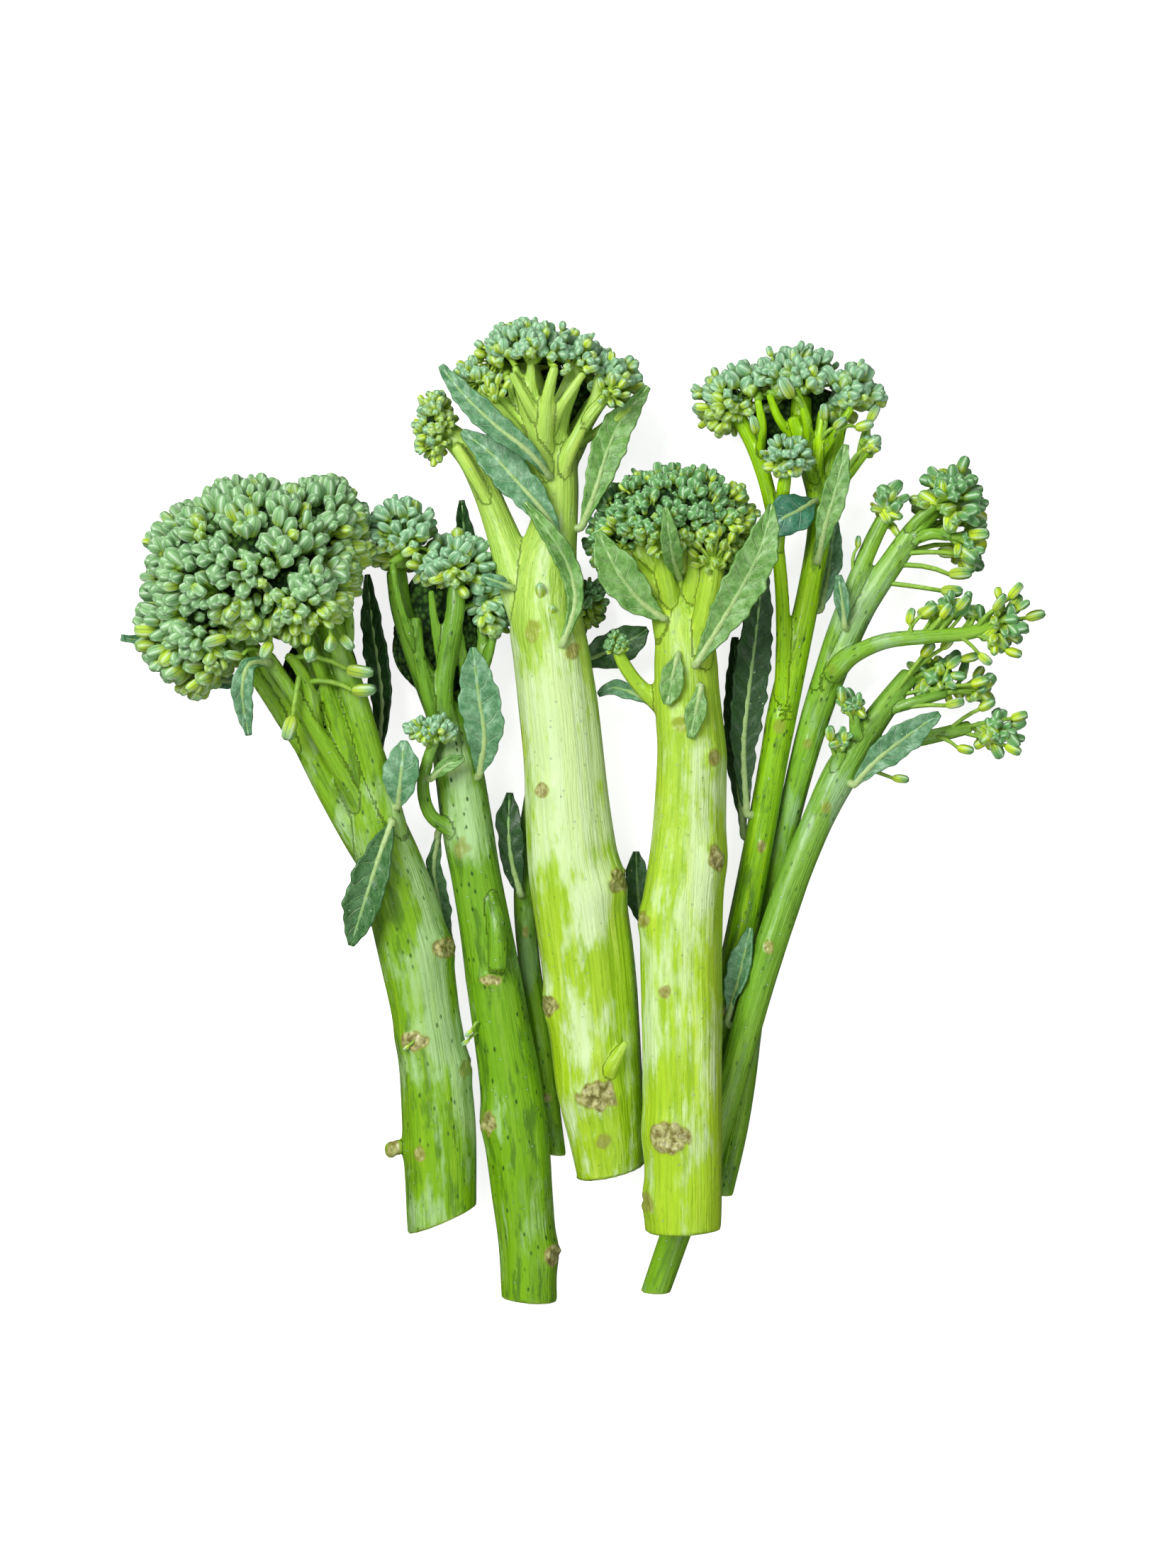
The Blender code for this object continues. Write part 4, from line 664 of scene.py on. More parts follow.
class Finish:
    """A material's node tree, with short calls for the nodes that these finishes use."""

    def __init__(self, name):
        self.material = bpy.data.materials.new(name)
        self.material.use_nodes = True
        self.tree = self.material.node_tree
        self.shader = self.tree.nodes["Principled BSDF"]

    def feed(self, socket, value):
        """Links a socket to another, or gives it a value."""
        if isinstance(value, bpy.types.NodeSocket):
            self.tree.links.new(value, socket)
        else:
            socket.default_value = value

    def node(self, kind, inputs=None, **settings):
        """A node of this kind, with its inputs linked or given values."""
        made = self.tree.nodes.new("ShaderNode" + kind)
        for key, value in settings.items():
            setattr(made, key, value)
        for key, value in (inputs or {}).items():
            self.feed(made.inputs[key], value)
        return made

    def tone(self, name):
        """The attribute of this name, as a number and as a vector."""
        made = self.node("Attribute", attribute_name=name)
        return made.outputs["Fac"], made.outputs["Vector"]

    def math(self, operation, first, second=0.0):
        """Two numbers put together by one operation."""
        return self.node("Math", {0: first, 1: second}, operation=operation).outputs[0]

    def stretch(self, vector, scale):
        """The vector with each of its three numbers multiplied."""
        return self.node("VectorMath", {0: vector, 1: scale}, operation="MULTIPLY").outputs[0]

    def position(self, step_mm=1.0):
        """The point's place, counted in steps of this many mm."""
        return self.stretch(self.node("TexCoord").outputs["Object"], (1000.0 / step_mm,) * 3)

    def noise(self, vector, scale, detail=3.0, roughness=0.5):
        """Soft noise about 0.5, with `scale` blots to one step of the vector."""
        inputs = {"Vector": vector, "Scale": scale, "Detail": detail, "Roughness": roughness}
        return self.node("TexNoise", inputs).outputs["Fac"]

    def between(self, value, low, high, bottom=0.0, top=1.0):
        """`bottom` where the value is low, `top` where it is high, and smooth between."""
        inputs = {"Value": value, "From Min": low, "From Max": high, "To Min": bottom, "To Max": top}
        return self.node("MapRange", inputs, interpolation_type="SMOOTHSTEP").outputs[0]

    def blend(self, factor, first, second):
        """`first` where the factor is 0, `second` where it is 1."""
        made = self.node("Mix", data_type="RGBA", blend_type="MIX")
        for socket, value in zip((made.inputs[0], made.inputs[6], made.inputs[7]), (factor, first, second)):
            self.feed(socket, (*value, 1.0) if isinstance(value, tuple) else value)
        return made.outputs[2]

    def painted_dew_glints(self, colour, share):
        """The colour with fine drops of water painted on it: discs with a painted dark rim of shade and a painted
        pale highlight in the middle. A drop shows where the surface passes close to the middle of a cell, and `share`
        of the cells have one."""
        where = self.position(DEW_GLINT_GAP_MM)
        cells = self.node("TexVoronoi", {"Vector": where, "Scale": 1.0})
        lot = self.node("SeparateColor", {0: cells.outputs["Color"]}).outputs[1]
        wet = self.between(lot, 0.97 - share, 1.0 - share)
        away = cells.outputs["Distance"]
        rim = self.math("MULTIPLY", wet, self.between(away, 0.19, 0.25, 0.45, 0.0))
        middle = self.math("MULTIPLY", wet, self.between(away, 0.06, 0.16, 0.65, 0.0))
        return self.blend(middle, self.blend(rim, colour, (0.05, 0.16, 0.02)), (0.80, 0.92, 0.72))

    def bump(self, height, depth_mm):
        """Relief on the surface: `depth_mm` high where the height is 1."""
        inputs = {"Height": height, "Distance": depth_mm * MM, "Strength": 1.0}
        self.feed(self.shader.inputs["Normal"], self.node("Bump", inputs).outputs[0])

    def set(self, **sockets):
        """Feeds the shader's sockets by name, and hands over the material."""
        for key, value in sockets.items():
            self.feed(self.shader.inputs[key.replace("_", " ")], value)
        return self.material


print("node helpers ready")


# %% Stem skins
def stem_skin(name, low, high, bloom_colour, wax, specks, damp_and_drop_glints):
    """A stem's skin: `low` green at the cut end to `high` near the crown, streaked along the grain, with the
    bloom of wax where it is left, dark specks and bruises, tan scars and a pale cut face. Its wetness shows as a
    clear coat and as water drops with a painted pale highlight and a painted dark rim."""
    skin = Finish(name)
    grain = skin.tone("grain")[1]
    level, cut, scar, slim, waxy, rim = (skin.tone(key)[0] for key in ("level", "cut", "scar", "slim", "wax", "rim"))
    where = skin.position()
    fibres = skin.noise(skin.stretch(grain, (1.9, 1.9, 0.06)), 1.0, 4.0, 0.6)
    streaks = skin.noise(skin.stretch(grain, (0.6, 0.6, 0.03)), 1.0, 3.0, 0.55)
    cells = skin.noise(skin.stretch(grain, (1.15, 1.15, 0.9)), 1.0, 4.0, 0.6)
    colour = skin.blend(skin.between(level, 0.1, 0.95), low, high)
    deep = tuple(channel * share for channel, share in zip(low, (0.36, 0.54, 0.3)))
    bright = tuple(min(1.0, channel * share) for channel, share in zip(high, (1.5, 1.25, 1.2)))
    colour = skin.blend(skin.between(fibres, 0.34, 0.56, 0.38, 0.0), colour, deep)
    colour = skin.blend(skin.between(streaks, 0.48, 0.72, 0.0, 0.5), colour, bright)
    bruises = skin.noise(skin.stretch(grain, (0.5, 0.5, 0.10)), 1.0, 4.0, 0.65)
    colour = skin.blend(skin.between(bruises, 0.51, 0.64, 0.0, 0.8 * specks), colour, (0.07, 0.19, 0.006))
    patches = skin.noise(skin.stretch(where, (0.17, 0.06, 0.17)), 1.0, 5.0, 0.6)
    brushed = skin.noise(skin.stretch(grain, (0.9, 0.9, 0.13)), 1.0, 4.0, 0.6)
    left = skin.math("ADD", waxy, skin.between(patches, 0.25, 0.75, -0.55, 0.55))
    left = skin.math("ADD", left, skin.between(brushed, 0.3, 0.7, -0.2, 0.2))
    bloom = skin.math("MULTIPLY", skin.between(left, 0.10, 0.74, 0.0, wax), skin.between(slim, 0.0, 1.0, 1.0, 0.4))
    bloom = skin.math("MULTIPLY", bloom, skin.between(streaks, 0.42, 0.64, 1.0, 0.72))
    colour = skin.blend(bloom, colour, bloom_colour)
    spots = skin.node("TexVoronoi", {"Vector": skin.stretch(grain, (0.8, 0.8, 0.40)), "Scale": 1.0})
    chosen = skin.between(skin.node("SeparateColor", {0: spots.outputs["Color"]}).outputs[0], 0.45, 0.55)
    speck = skin.math("MULTIPLY", skin.between(spots.outputs["Distance"], 0.10, 0.27, specks, 0.0), chosen)
    # dark specks, then painted highlights and painted dark rims of water drops
    colour = skin.painted_dew_glints(skin.blend(speck, colour, (0.03, 0.09, 0.005)), 0.5 * damp_and_drop_glints)
    crust = skin.blend(skin.between(cells, 0.36, 0.64), (0.54, 0.54, 0.22), (0.20, 0.18, 0.035))
    bark = skin.blend(skin.between(scar, 0.25, 0.75), (0.30, 0.33, 0.04), crust)
    colour = skin.blend(skin.between(scar, 0.02, 0.5), colour, bark)
    pith = skin.blend(skin.between(rim, 0.70, 0.94), (0.60, 0.70, 0.34), (0.26, 0.44, 0.03))
    colour = skin.blend(cut, colour, pith)
    skin.bump(skin.math("ADD", skin.math("MULTIPLY", fibres, 0.8), skin.math("MULTIPLY", cells, 0.3)), 0.45)
    skin.feed(skin.shader.inputs["Roughness"], skin.between(bloom, 0.0, 0.8, 0.27, 0.48))
    return skin.set(Base_Color=colour, Subsurface_Weight=0.08, Subsurface_Radius=(0.9, 1.0, 0.2),
                    Subsurface_Scale=0.0010, Specular_IOR_Level=0.32, Coat_Weight=damp_and_drop_glints, Coat_Roughness=0.13)


MINT_WAX, CREAM_WAX, GREY_WAX = (0.48, 0.72, 0.34), (0.70, 0.88, 0.47), (0.36, 0.60, 0.28)
skins = {
    "spear_1": stem_skin("stem_skin_1", (0.21, 0.46, 0.002), (0.24, 0.48, 0.02), MINT_WAX, 0.75, 0.8, 0.35),
    "spear_2": stem_skin("stem_skin_2", (0.20, 0.45, 0.002), (0.17, 0.38, 0.03), MINT_WAX, 0.80, 1.0, 0.35),
    "spear_3": stem_skin("stem_skin_3", (0.40, 0.64, 0.01), (0.46, 0.71, 0.12), CREAM_WAX, 0.95, 0.12, 0.2),
    "spear_4": stem_skin("stem_skin_4", (0.43, 0.68, 0.02), (0.42, 0.66, 0.05), CREAM_WAX, 0.85, 0.15, 0.2),
    "spear_5": stem_skin("stem_skin_5", (0.18, 0.44, 0.002), (0.36, 0.70, 0.004), MINT_WAX, 0.4, 0.9, 0.35),
    "spear_6": stem_skin("stem_skin_6", (0.16, 0.40, 0.004), (0.25, 0.52, 0.04), GREY_WAX, 0.7, 0.8, 0.3),
    "spear_7": stem_skin("stem_skin_7", (0.19, 0.43, 0.004), (0.22, 0.47, 0.05), GREY_WAX, 0.8, 0.6, 0.3),
    "spear_8": stem_skin("stem_skin_8", (0.17, 0.38, 0.008), (0.17, 0.36, 0.03), GREY_WAX, 0.6, 0.7, 0.3),
}
print("stem skins:", len(skins))


# %% [markdown]
# ## Stems
# Where a branch leaves its stem there is no seam: the skin runs from one to the other in a web. A tube is a
# circle carried along a route, which is easy to work out, but tubes that only cross each other keep a hard
# line. So each spear's tubes are first made as closed tubes, joined by a voxel remesh into one skin, and
# relaxed a little, which fills the forks. Then each point of the new skin looks up the tube it belongs to, and
# ribs, swellings and scars are pressed into it along its own normal.

# %% Tubes carried along routes
def side_vectors(route):
    """Two unit vectors square to the route at each point: direction x up, and that x direction. `up` is the
    axis that the route as a whole leans on least."""
    along = directions(route)
    up = np.eye(3)[np.abs(along).mean(axis=0).argmin()]
    side = unit(np.cross(along, up))
    return along, side, np.cross(side, along)


def crosswise(aims):
    """Two unit vectors square to each direction."""
    helper = np.where(np.abs(aims[:, 2:]) > 0.9, (1.0, 0.0, 0.0), (0.0, 0.0, 1.0))
    side = unit(np.cross(aims, helper))
    return side, np.cross(side, aims)


def spokes(angle, side, lift):
    """Unit vectors round each circle: cos a x side + sin a x lift."""
    return np.cos(angle)[..., None] * side[:, None] + np.sin(angle)[..., None] * lift[:, None]


def tube_surface(route, sides, slant=0.0):
    """A closed tube: centre + radius x spoke. Its first end is cut at a slant, which fades over the first
    rings, and each end is closed by a pole."""
    along, side, lift = side_vectors(route)
    angle = np.linspace(0, 2 * np.pi, sides, endpoint=False)
    points = route[:, None, :3] + route[:, None, 3:4] * spokes(angle, side, lift)
    run = run_along(route)
    fade = np.clip(1 - run / (4 * route[0, 3]), 0, 1)
    points += (slant * route[0, 3] * fade[:, None] * np.cos(angle))[..., None] * along[:, None]
    poles = np.stack([route[0, :3], route[-1, :3] + 0.4 * route[-1, 3] * along[-1]])
    return np.vstack([points.reshape(-1, 3), poles]), grid_faces(len(route), sides, True), pole_faces(
        len(route), sides)


def joined(surfaces):
    """Several (points, quads, triangles) as one."""
    counts = np.cumsum([0] + [len(points) for points, _, _ in surfaces])
    return (np.vstack([points for points, _, _ in surfaces]),
            np.vstack([quads + start for (_, quads, _), start in zip(surfaces, counts)]),
            np.vstack([ends + start for (_, _, ends), start in zip(surfaces, counts)]))


def applied(mesh, *modifiers):
    """The mesh after these modifiers: (kind, settings) for each."""
    carrier = bpy.data.objects.new("carrier", mesh)
    bpy.context.scene.collection.objects.link(carrier)
    for kind, settings in modifiers:
        modifier = carrier.modifiers.new(kind.lower(), kind)
        for key, value in settings.items():
            setattr(modifier, key, value)
    graph = bpy.context.evaluated_depsgraph_get()
    done = bpy.data.meshes.new_from_object(carrier.evaluated_get(graph))
    bpy.data.objects.remove(carrier)
    bpy.data.meshes.remove(mesh)
    return done


def read_points(mesh, normals=False):
    """The mesh's points in millimetres, or its point normals."""
    values = np.empty(len(mesh.vertices) * 3, np.float32)
    (mesh.vertex_normals if normals else mesh.vertices).foreach_get("vector" if normals else "co", values)
    return values.reshape(-1, 3).astype(float) / (1 if normals else MM)


print("tube helpers ready")


# %% Growing each skin
VOXEL_MM = {"spear_1": 0.42, "spear_2": 0.42, "spear_3": 0.46, "spear_4": 0.46}
FINE_VOXEL_MM = 0.34
FAR = 9.0  # half sizes from a scar, for points that face down
LOWEST_MM = 0.05
TUBE_GRAIN, TUBE_RUN = 31, 57  # keep the grain of two tubes apart


def ring_table(routes):
    """For all rings of all tubes: centre, radius, direction, side, lift, length so far, and the tube's number."""
    rows = []
    for number, route in enumerate(routes):
        along, side, lift = side_vectors(route)
        run = run_along(route)
        rows.append(np.hstack([route[:, :4], along, side, lift, run[:, None], np.full((len(route), 1), number)]))
    return np.vstack(rows)


def nearest_ring(points, rings):
    """For each point, the ring whose tube surface passes closest: the least |distance - radius|."""
    chosen = []
    for part in np.array_split(points.astype(np.float32), max(1, len(points) // 3000)):
        gap = np.linalg.norm(part[:, None] - rings[None, :, :3].astype(np.float32), axis=2)
        chosen.append(np.abs(gap - rings[:, 3].astype(np.float32)).argmin(axis=1))
    return rings[np.concatenate(chosen)]


def ripple(rng, grain, waves, reach):
    """Soft lumps: a sum of sine waves with random directions and phases in the straightened stem."""
    total = np.zeros(len(grain))
    for _ in range(waves):
        total += np.sin(grain @ (rng.normal(size=3) * reach) + rng.uniform(0, 2 * np.pi))
    return total / np.sqrt(waves)


def eased(mesh, values, rounds):
    """Each point's value moved half the way to its neighbours' mean, this many rounds."""
    ends = np.empty(len(mesh.edges) * 2, np.int32)
    mesh.edges.foreach_get("vertices", ends)
    one, two = ends.reshape(-1, 2).T
    neighbours = np.bincount(ends, minlength=len(values))
    for _ in range(rounds):
        total = np.bincount(one, values[two], len(values)) + np.bincount(two, values[one], len(values))
        values = (values + total / neighbours) / 2
    return values


def patch_distance(points, x, y, half_width, half_length):
    """How far each point is from a patch's middle, seen from above and counted in the patch's half sizes."""
    return np.hypot((points[:, 0] - x) / half_width, (points[:, 1] - y) / half_length)


def grow_skin(name, number):
    """The spear's skin: tubes remeshed into one, then moved along its normals by ribs, lumps and scars."""
    rng = np.random.default_rng(100 + number)
    shift = shifts[name]
    routes = [smooth_route(knots, TUBE_STEP_MM) for knots in tubes[name]]
    for twig in TWIGS[name]:
        knots = np.array(twig, float)
        knots[:, :3] += shift
        near = balls[np.linalg.norm(balls[:, :3] - knots[0, :3], axis=1).argmin(), :3]
        knots[0] = (*(knots[0, :3] + near) / 2, 0.6 * knots[0, 3])
        routes.append(smooth_route(knots, TUBE_STEP_MM))
    sides = [int(np.clip(route[:, 3].max() * 9, 14, 64)) for route in routes]
    slants = [SLANT[name]] + [0.0] * len(routes)
    raw = joined([tube_surface(*shape) for shape in zip(routes, sides, slants)])
    voxel = VOXEL_MM.get(name, FINE_VOXEL_MM)
    mesh = applied(new_mesh(name, *raw), ("REMESH", {"mode": "VOXEL", "voxel_size": voxel * MM}),
                   ("SMOOTH", {"factor": 0.5, "iterations": 6}))
    points, normals = read_points(mesh), read_points(mesh, normals=True)
    ring = nearest_ring(points, ring_table(routes))
    offset = points - ring[:, :3]
    across, up, ahead = ((offset * ring[:, start:start + 3]).sum(axis=1) for start in (7, 10, 4))
    radius, run, tube = ring[:, 3], ring[:, 13] + ahead, ring[:, 14]
    grain = np.stack([across + tube * TUBE_GRAIN, up, run + tube * TUBE_RUN], axis=1)
    angle = np.arctan2(up, across)
    wobble = rng.uniform(0, 2 * np.pi, 4)
    ribs = sum(size * np.cos(count * angle + turn + drift * run) for size, count, turn, drift in zip(
        (0.022, 0.016, 0.010, 0.006), (3, 5, 9, 15), wobble, (0.02, -0.03, 0.025, -0.05)))
    grow = radius * ribs + 0.012 * radius * ripple(rng, grain, 7, (0.35, 0.35, 0.13))
    grow += 0.03 * ripple(rng, grain, 9, (2.4, 2.4, 0.22))
    grow = eased(mesh, grow, 10)
    slanted = run - SLANT[name] * across * np.clip(1 - run / (4 * radius), 0, 1)
    cut = (1 - smoothstep(0.25, 0.6, slanted)) * (tube == 0)
    scar = np.zeros(len(points))
    for *patch, height, brown in SCARS[name]:
        away = np.where(normals[:, 2] > -0.1, patch_distance(points - shift, *patch), FAR)
        edge = away + 0.12 * ripple(rng, grain, 5, (1.5, 1.5, 1.2))
        grow += height * (np.exp(-0.8 * away ** 2) - 0.55 * np.exp(-5.0 * away ** 2) * (brown > 0.25))
        scar = np.maximum(scar, brown * (1 - smoothstep(0.5, 0.85, edge)))
        crust = ripple(rng, grain, 8, (2.2, 2.2, 1.9))
        grow += 0.42 * brown * crust * (1 - smoothstep(0.4, 0.9, edge))
    points += normals * (grow * (1 - cut))[:, None]
    points[:, 2] = np.maximum(points[:, 2], LOWEST_MM)
    mesh.vertices.foreach_set("co", (points * MM).astype(np.float32).ravel())
    mesh.update()
    mesh.shade_smooth()
    rim = np.hypot(across, up) / radius
    level = (points[:, 1] - points[:, 1].min()) / np.ptp(points[:, 1])
    slim = eased(mesh, 1 - smoothstep(0.22, 0.5, radius / radius.max()), 40)
    wax = np.full(len(points), float(WAX[name][0]))
    for *patch, amount in WAX[name][1:]:
        wax += amount * np.exp(-patch_distance(points - shift, *patch) ** 2)
    set_tones(mesh, {"grain": grain, "level": level, "cut": cut, "scar": scar, "rim": rim, "slim": slim,
                     "wax": wax})
    return mesh


for number, name in enumerate(SPEARS):
    mesh = grow_skin(name, number)
    place(name + "_skin", mesh, [skins[name]], "stem", name + "_stem")
    print(name, "skin:", len(mesh.polygons), "faces")


# %% [markdown]
# ## Buds
# A closed broccolini bud is a small barrel, about half as wide as it is long, wrapped in four sepals. Each
# sepal has a pale ridge down its middle, and the furrows between them are painted dark as shade. There are
# thousands, so one bud has only 56 faces: eight columns, so that every second column is a ridge. The buds are
# yellow-green where they sit in their cluster and grey blue-green at their tips.

# %% The bud finish
def bud_finish(name, tip, foot):
    """`foot` green to `tip` green along the bud, pale sepal ridges, painted shade in the furrows between them, and a
    powdery wax.
    """
    bud = Finish(name)
    along, rib, tone, ripe = (bud.tone(key)[0] for key in ("along", "rib", "tone", "ripe"))
    where = bud.position()
    mottle = bud.noise(where, 1.6, 3.0, 0.6)
    reach = bud.math("ADD", along, bud.between(ripe, 0.0, 1.0, 0.25, -0.45))
    reach = bud.math("ADD", reach, bud.between(mottle, 0.3, 0.7, -0.14, 0.14))
    colour = bud.blend(bud.between(reach, 0.22, 0.85), foot, tip)
    colour = bud.blend(bud.between(tone, 0.0, 1.0, 0.30, 0.0), colour, (0.08, 0.24, 0.10))
    ridge = bud.math("MULTIPLY", bud.between(rib, 0.1, 0.95), bud.between(along, 0.1, 0.5, 0.15, 0.68))
    colour = bud.blend(ridge, colour, (0.76, 0.93, 0.70))
    # painted shade in the furrows where the sepals meet
    colour = bud.blend(bud.between(rib, -1.0, -0.6, 0.6, 0.0), colour, (0.03, 0.14, 0.03))
    fine = bud.noise(where, 7.0, 2.0)
    bud.bump(fine, 0.12)
    return bud.set(Base_Color=colour, Roughness=0.5, Subsurface_Weight=0.1, Subsurface_Radius=(0.6, 1.0, 0.4),
                   Subsurface_Scale=0.0006, Specular_IOR_Level=0.4)


def stalk_finish(name, foot, top):
    """A thin stalk: `foot` green near its branch to `top` green under the buds, with fine fibres."""
    stalk = Finish(name)
    level = stalk.tone("level")[0]
    where = stalk.position()
    mottle = stalk.noise(where, 1.3, 3.0, 0.6)
    colour = stalk.blend(stalk.between(level, 0.0, 1.0), foot, top)
    colour = stalk.blend(stalk.between(mottle, 0.35, 0.7, 0.0, 0.5), colour, (0.12, 0.30, 0.03))
    stalk.bump(mottle, 0.15)
    return stalk.set(Base_Color=colour, Roughness=0.45, Subsurface_Weight=0.1,
                     Subsurface_Radius=(0.8, 1.0, 0.3), Subsurface_Scale=0.0006, Specular_IOR_Level=0.4)


BLUE_BUDS = bud_finish("blue_green_buds", (0.31, 0.57, 0.24), (0.58, 0.80, 0.04))
GREEN_BUDS = bud_finish("green_buds", (0.18, 0.46, 0.14), (0.62, 0.84, 0.02))
MINT_BUDS = bud_finish("mint_green_buds", (0.32, 0.61, 0.34), (0.62, 0.84, 0.04))
bud_finishes = {"spear_1": BLUE_BUDS, "spear_2": MINT_BUDS, "spear_3": MINT_BUDS, "spear_4": GREEN_BUDS,
                "spear_5": MINT_BUDS, "spear_6": GREEN_BUDS, "spear_7": GREEN_BUDS, "spear_8": GREEN_BUDS}
BRIGHT_STALKS = stalk_finish("bright_stalks", (0.40, 0.64, 0.05), (0.52, 0.72, 0.10))
GREEN_STALKS = stalk_finish("green_stalks", (0.24, 0.46, 0.04), (0.36, 0.60, 0.07))


def shaded_inner_finish():
    """Deep green to near black, mottled: young stalks and buds crowded together, with the shade deep among them
    painted into the colour.
    """
    inner = Finish("inner_stalks_painted_shade")
    where = inner.position()
    cells = inner.node("TexVoronoi", {"Vector": where, "Scale": 0.8}).outputs["Distance"]
    # deep green to near black: painted shade deep in the crowns and fans
    colour = inner.blend(inner.between(cells, 0.15, 0.7), (0.06, 0.15, 0.02), (0.008, 0.03, 0.006))
    inner.bump(inner.math("MULTIPLY", cells, -1.0), 1.2)
    return inner.set(Base_Color=colour, Roughness=0.7, Specular_IOR_Level=0.2)


SHADED_INNER_STALKS = shaded_inner_finish()
stalk_finishes = {name: BRIGHT_STALKS if name in ("spear_3", "spear_4") else GREEN_STALKS for name in SPEARS}
print("bud and stalk finishes ready")


# %% One bud, many times
BUD_HEIGHTS = np.array([0.0, 0.12, 0.34, 0.62, 0.86, 0.98])
BUD_GIRTHS = np.array([0.42, 0.80, 1.0, 1.02, 0.86, 0.46])
BUD_COLUMNS = 8
BUD_TIP = 0.955  # the tip is a shallow dimple where the sepals meet
RIDGE = 0.07


def buds_mesh(name, feet, aims, lengths, widths, ripe, rng):
    """Many buds in one mesh. A bud's point is foot + length x height x aim + half width x girth x spoke, with
    every second spoke a little longer for a ridge, and all of them jittered so that no two buds match."""
    count, rows = len(feet), len(BUD_HEIGHTS)
    side, lift = crosswise(aims)
    angle = rng.uniform(0, 2 * np.pi, (count, 1)) + np.arange(BUD_COLUMNS) * 2 * np.pi / BUD_COLUMNS
    rib = np.where(np.arange(BUD_COLUMNS) % 2 == 0, 1.0, -1.0)
    girth = BUD_GIRTHS[None, :, None] * (1 + RIDGE * rib + rng.normal(0, 0.035, (count, rows, BUD_COLUMNS)))
    flat = 1 + rng.normal(0, 0.07, (count, 1, 1)) * np.cos(2 * angle)[:, None]
    height = BUD_HEIGHTS + rng.normal(0, 0.012, (count, rows))
    bend = unit(rng.normal(size=(count, 3))) * (0.05 * lengths)[:, None]
    axis = feet[:, None] + (lengths[:, None] * height)[..., None] * aims[:, None]
    axis += (BUD_HEIGHTS ** 2)[None, :, None] * bend[:, None]
    reach = (widths[:, None, None] / 2 * girth * flat)[..., None]
    points = axis[:, :, None] + reach * spokes(angle, side, lift)[:, None]
    poles = np.stack([feet, feet + aims * (BUD_TIP * lengths)[:, None] + bend * 0.9], axis=1)
    points = np.concatenate([points.reshape(count, -1, 3), poles], axis=1)
    size = points.shape[1]
    along = np.tile(np.r_[np.repeat(BUD_HEIGHTS, BUD_COLUMNS), 0.0, BUD_TIP], count)
    ridges = np.tile(np.r_[np.tile(rib, rows), 0.0, -0.4], count)
    tones = {"along": along, "rib": ridges, "tone": np.repeat(rng.uniform(0, 1, count), size),
             "ripe": np.repeat(ripe, size)}
    return new_mesh(name, points.reshape(-1, 3), *repeated_faces(count, rows, BUD_COLUMNS), tones)


def stalks_surface(starts, bends, ends, start_radii, end_radii, rows=5, columns=5):
    """Many thin bent stalks: each is a circle carried along the quadratic curve start, bend, end, that is
    (1-t)^2 start + 2t(1-t) bend + t^2 end, with its radius going evenly from one end to the other."""
    count = len(starts)
    t = np.linspace(0, 1, rows)[None, :, None]
    axis = (1 - t) ** 2 * starts[:, None] + 2 * t * (1 - t) * bends[:, None] + t ** 2 * ends[:, None]
    spoke = spokes(np.arange(columns) * 2 * np.pi / columns, *crosswise(unit(ends - starts)))
    radius = start_radii[:, None] * (1 - t[..., 0]) + end_radii[:, None] * t[..., 0]
    points = axis[:, :, None] + radius[..., None, None] * spoke[:, None]
    poles = np.stack([starts, ends], axis=1)
    points = np.concatenate([points.reshape(count, -1, 3), poles], axis=1)
    level = np.tile(np.r_[np.repeat(np.linspace(0, 1, rows), columns), 0.0, 1.0], count)
    return points.reshape(-1, 3), *repeated_faces(count, rows, columns), level


def stalks_mesh(name, groups):
    """One mesh from several groups of stalks."""
    shapes = [stalks_surface(*group) for group in groups if len(group[0])]
    return new_mesh(name, *joined([shape[:3] for shape in shapes]),
                    tones={"level": np.concatenate([shape[3] for shape in shapes])})


print("faces in one bud:", sum(len(faces) for faces in repeated_faces(1, len(BUD_HEIGHTS), BUD_COLUMNS)))


# %% [markdown]
# ## Crowns
# A crown is a dome of small clusters, each a smaller dome of buds on thin stalks that meet at the cluster's own
# stalk, which in turn runs back to a branch. Placing buds by hand is hopeless, and a regular pattern shows. So
# points are scattered thickly over the lobes that the CAD crown is made of, and taken in a random order: a
# point stays if no earlier one is too near. That gives an even but irregular spread, first of clusters, then of
# buds. A bud near the middle of its cluster stands higher, and one at its edge leans outward and sinks, which
# opens the dark gaps between clusters. A second, deeper layer of young buds fills the gaps from below.

# %% The leaves' places
LEAF_WALL_MM = 0.8  # of the CAD leaf
STATIONS, COLUMNS = 8, 3


def leaf_grid(node, name, midrib):
    """Middle surface of a CAD leaf as stations x 3 points across. Its points pair up through the wall, one
    wall apart. The pairs' middles are put in order along the midrib and taken three at a time, then the line
    through their means gives a better order."""
    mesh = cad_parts[node].data
    values = np.empty(len(mesh.vertices) * 3, np.float32)
    mesh.vertices.foreach_get("co", values)
    points = np.unique((values.reshape(-1, 3).astype(float) / MM).round(3), axis=0)
    apart = np.abs(np.linalg.norm(points[:, None] - points[None], axis=2) - LEAF_WALL_MM)
    partner = apart.argmin(axis=1)
    first = np.arange(len(points)) < partner
    middles = ((points + points[partner]) / 2)[first]
    line = np.array(midrib, float) + shifts[name]
    for _ in range(6):
        dense = smooth_route(line, 0.2)
        order = np.linalg.norm(middles[:, None] - dense[None], axis=2).argmin(axis=1)
        rows = middles[np.argsort(order, kind="stable")].reshape(STATIONS, COLUMNS, 3)
        line = rows.mean(axis=1)
    side = unit(np.cross(directions(line), (0, 0, 1)))
    across = ((rows - line[:, None]) * side[:, None]).sum(axis=2)
    return np.take_along_axis(rows, across.argsort(axis=1)[..., None], axis=1)


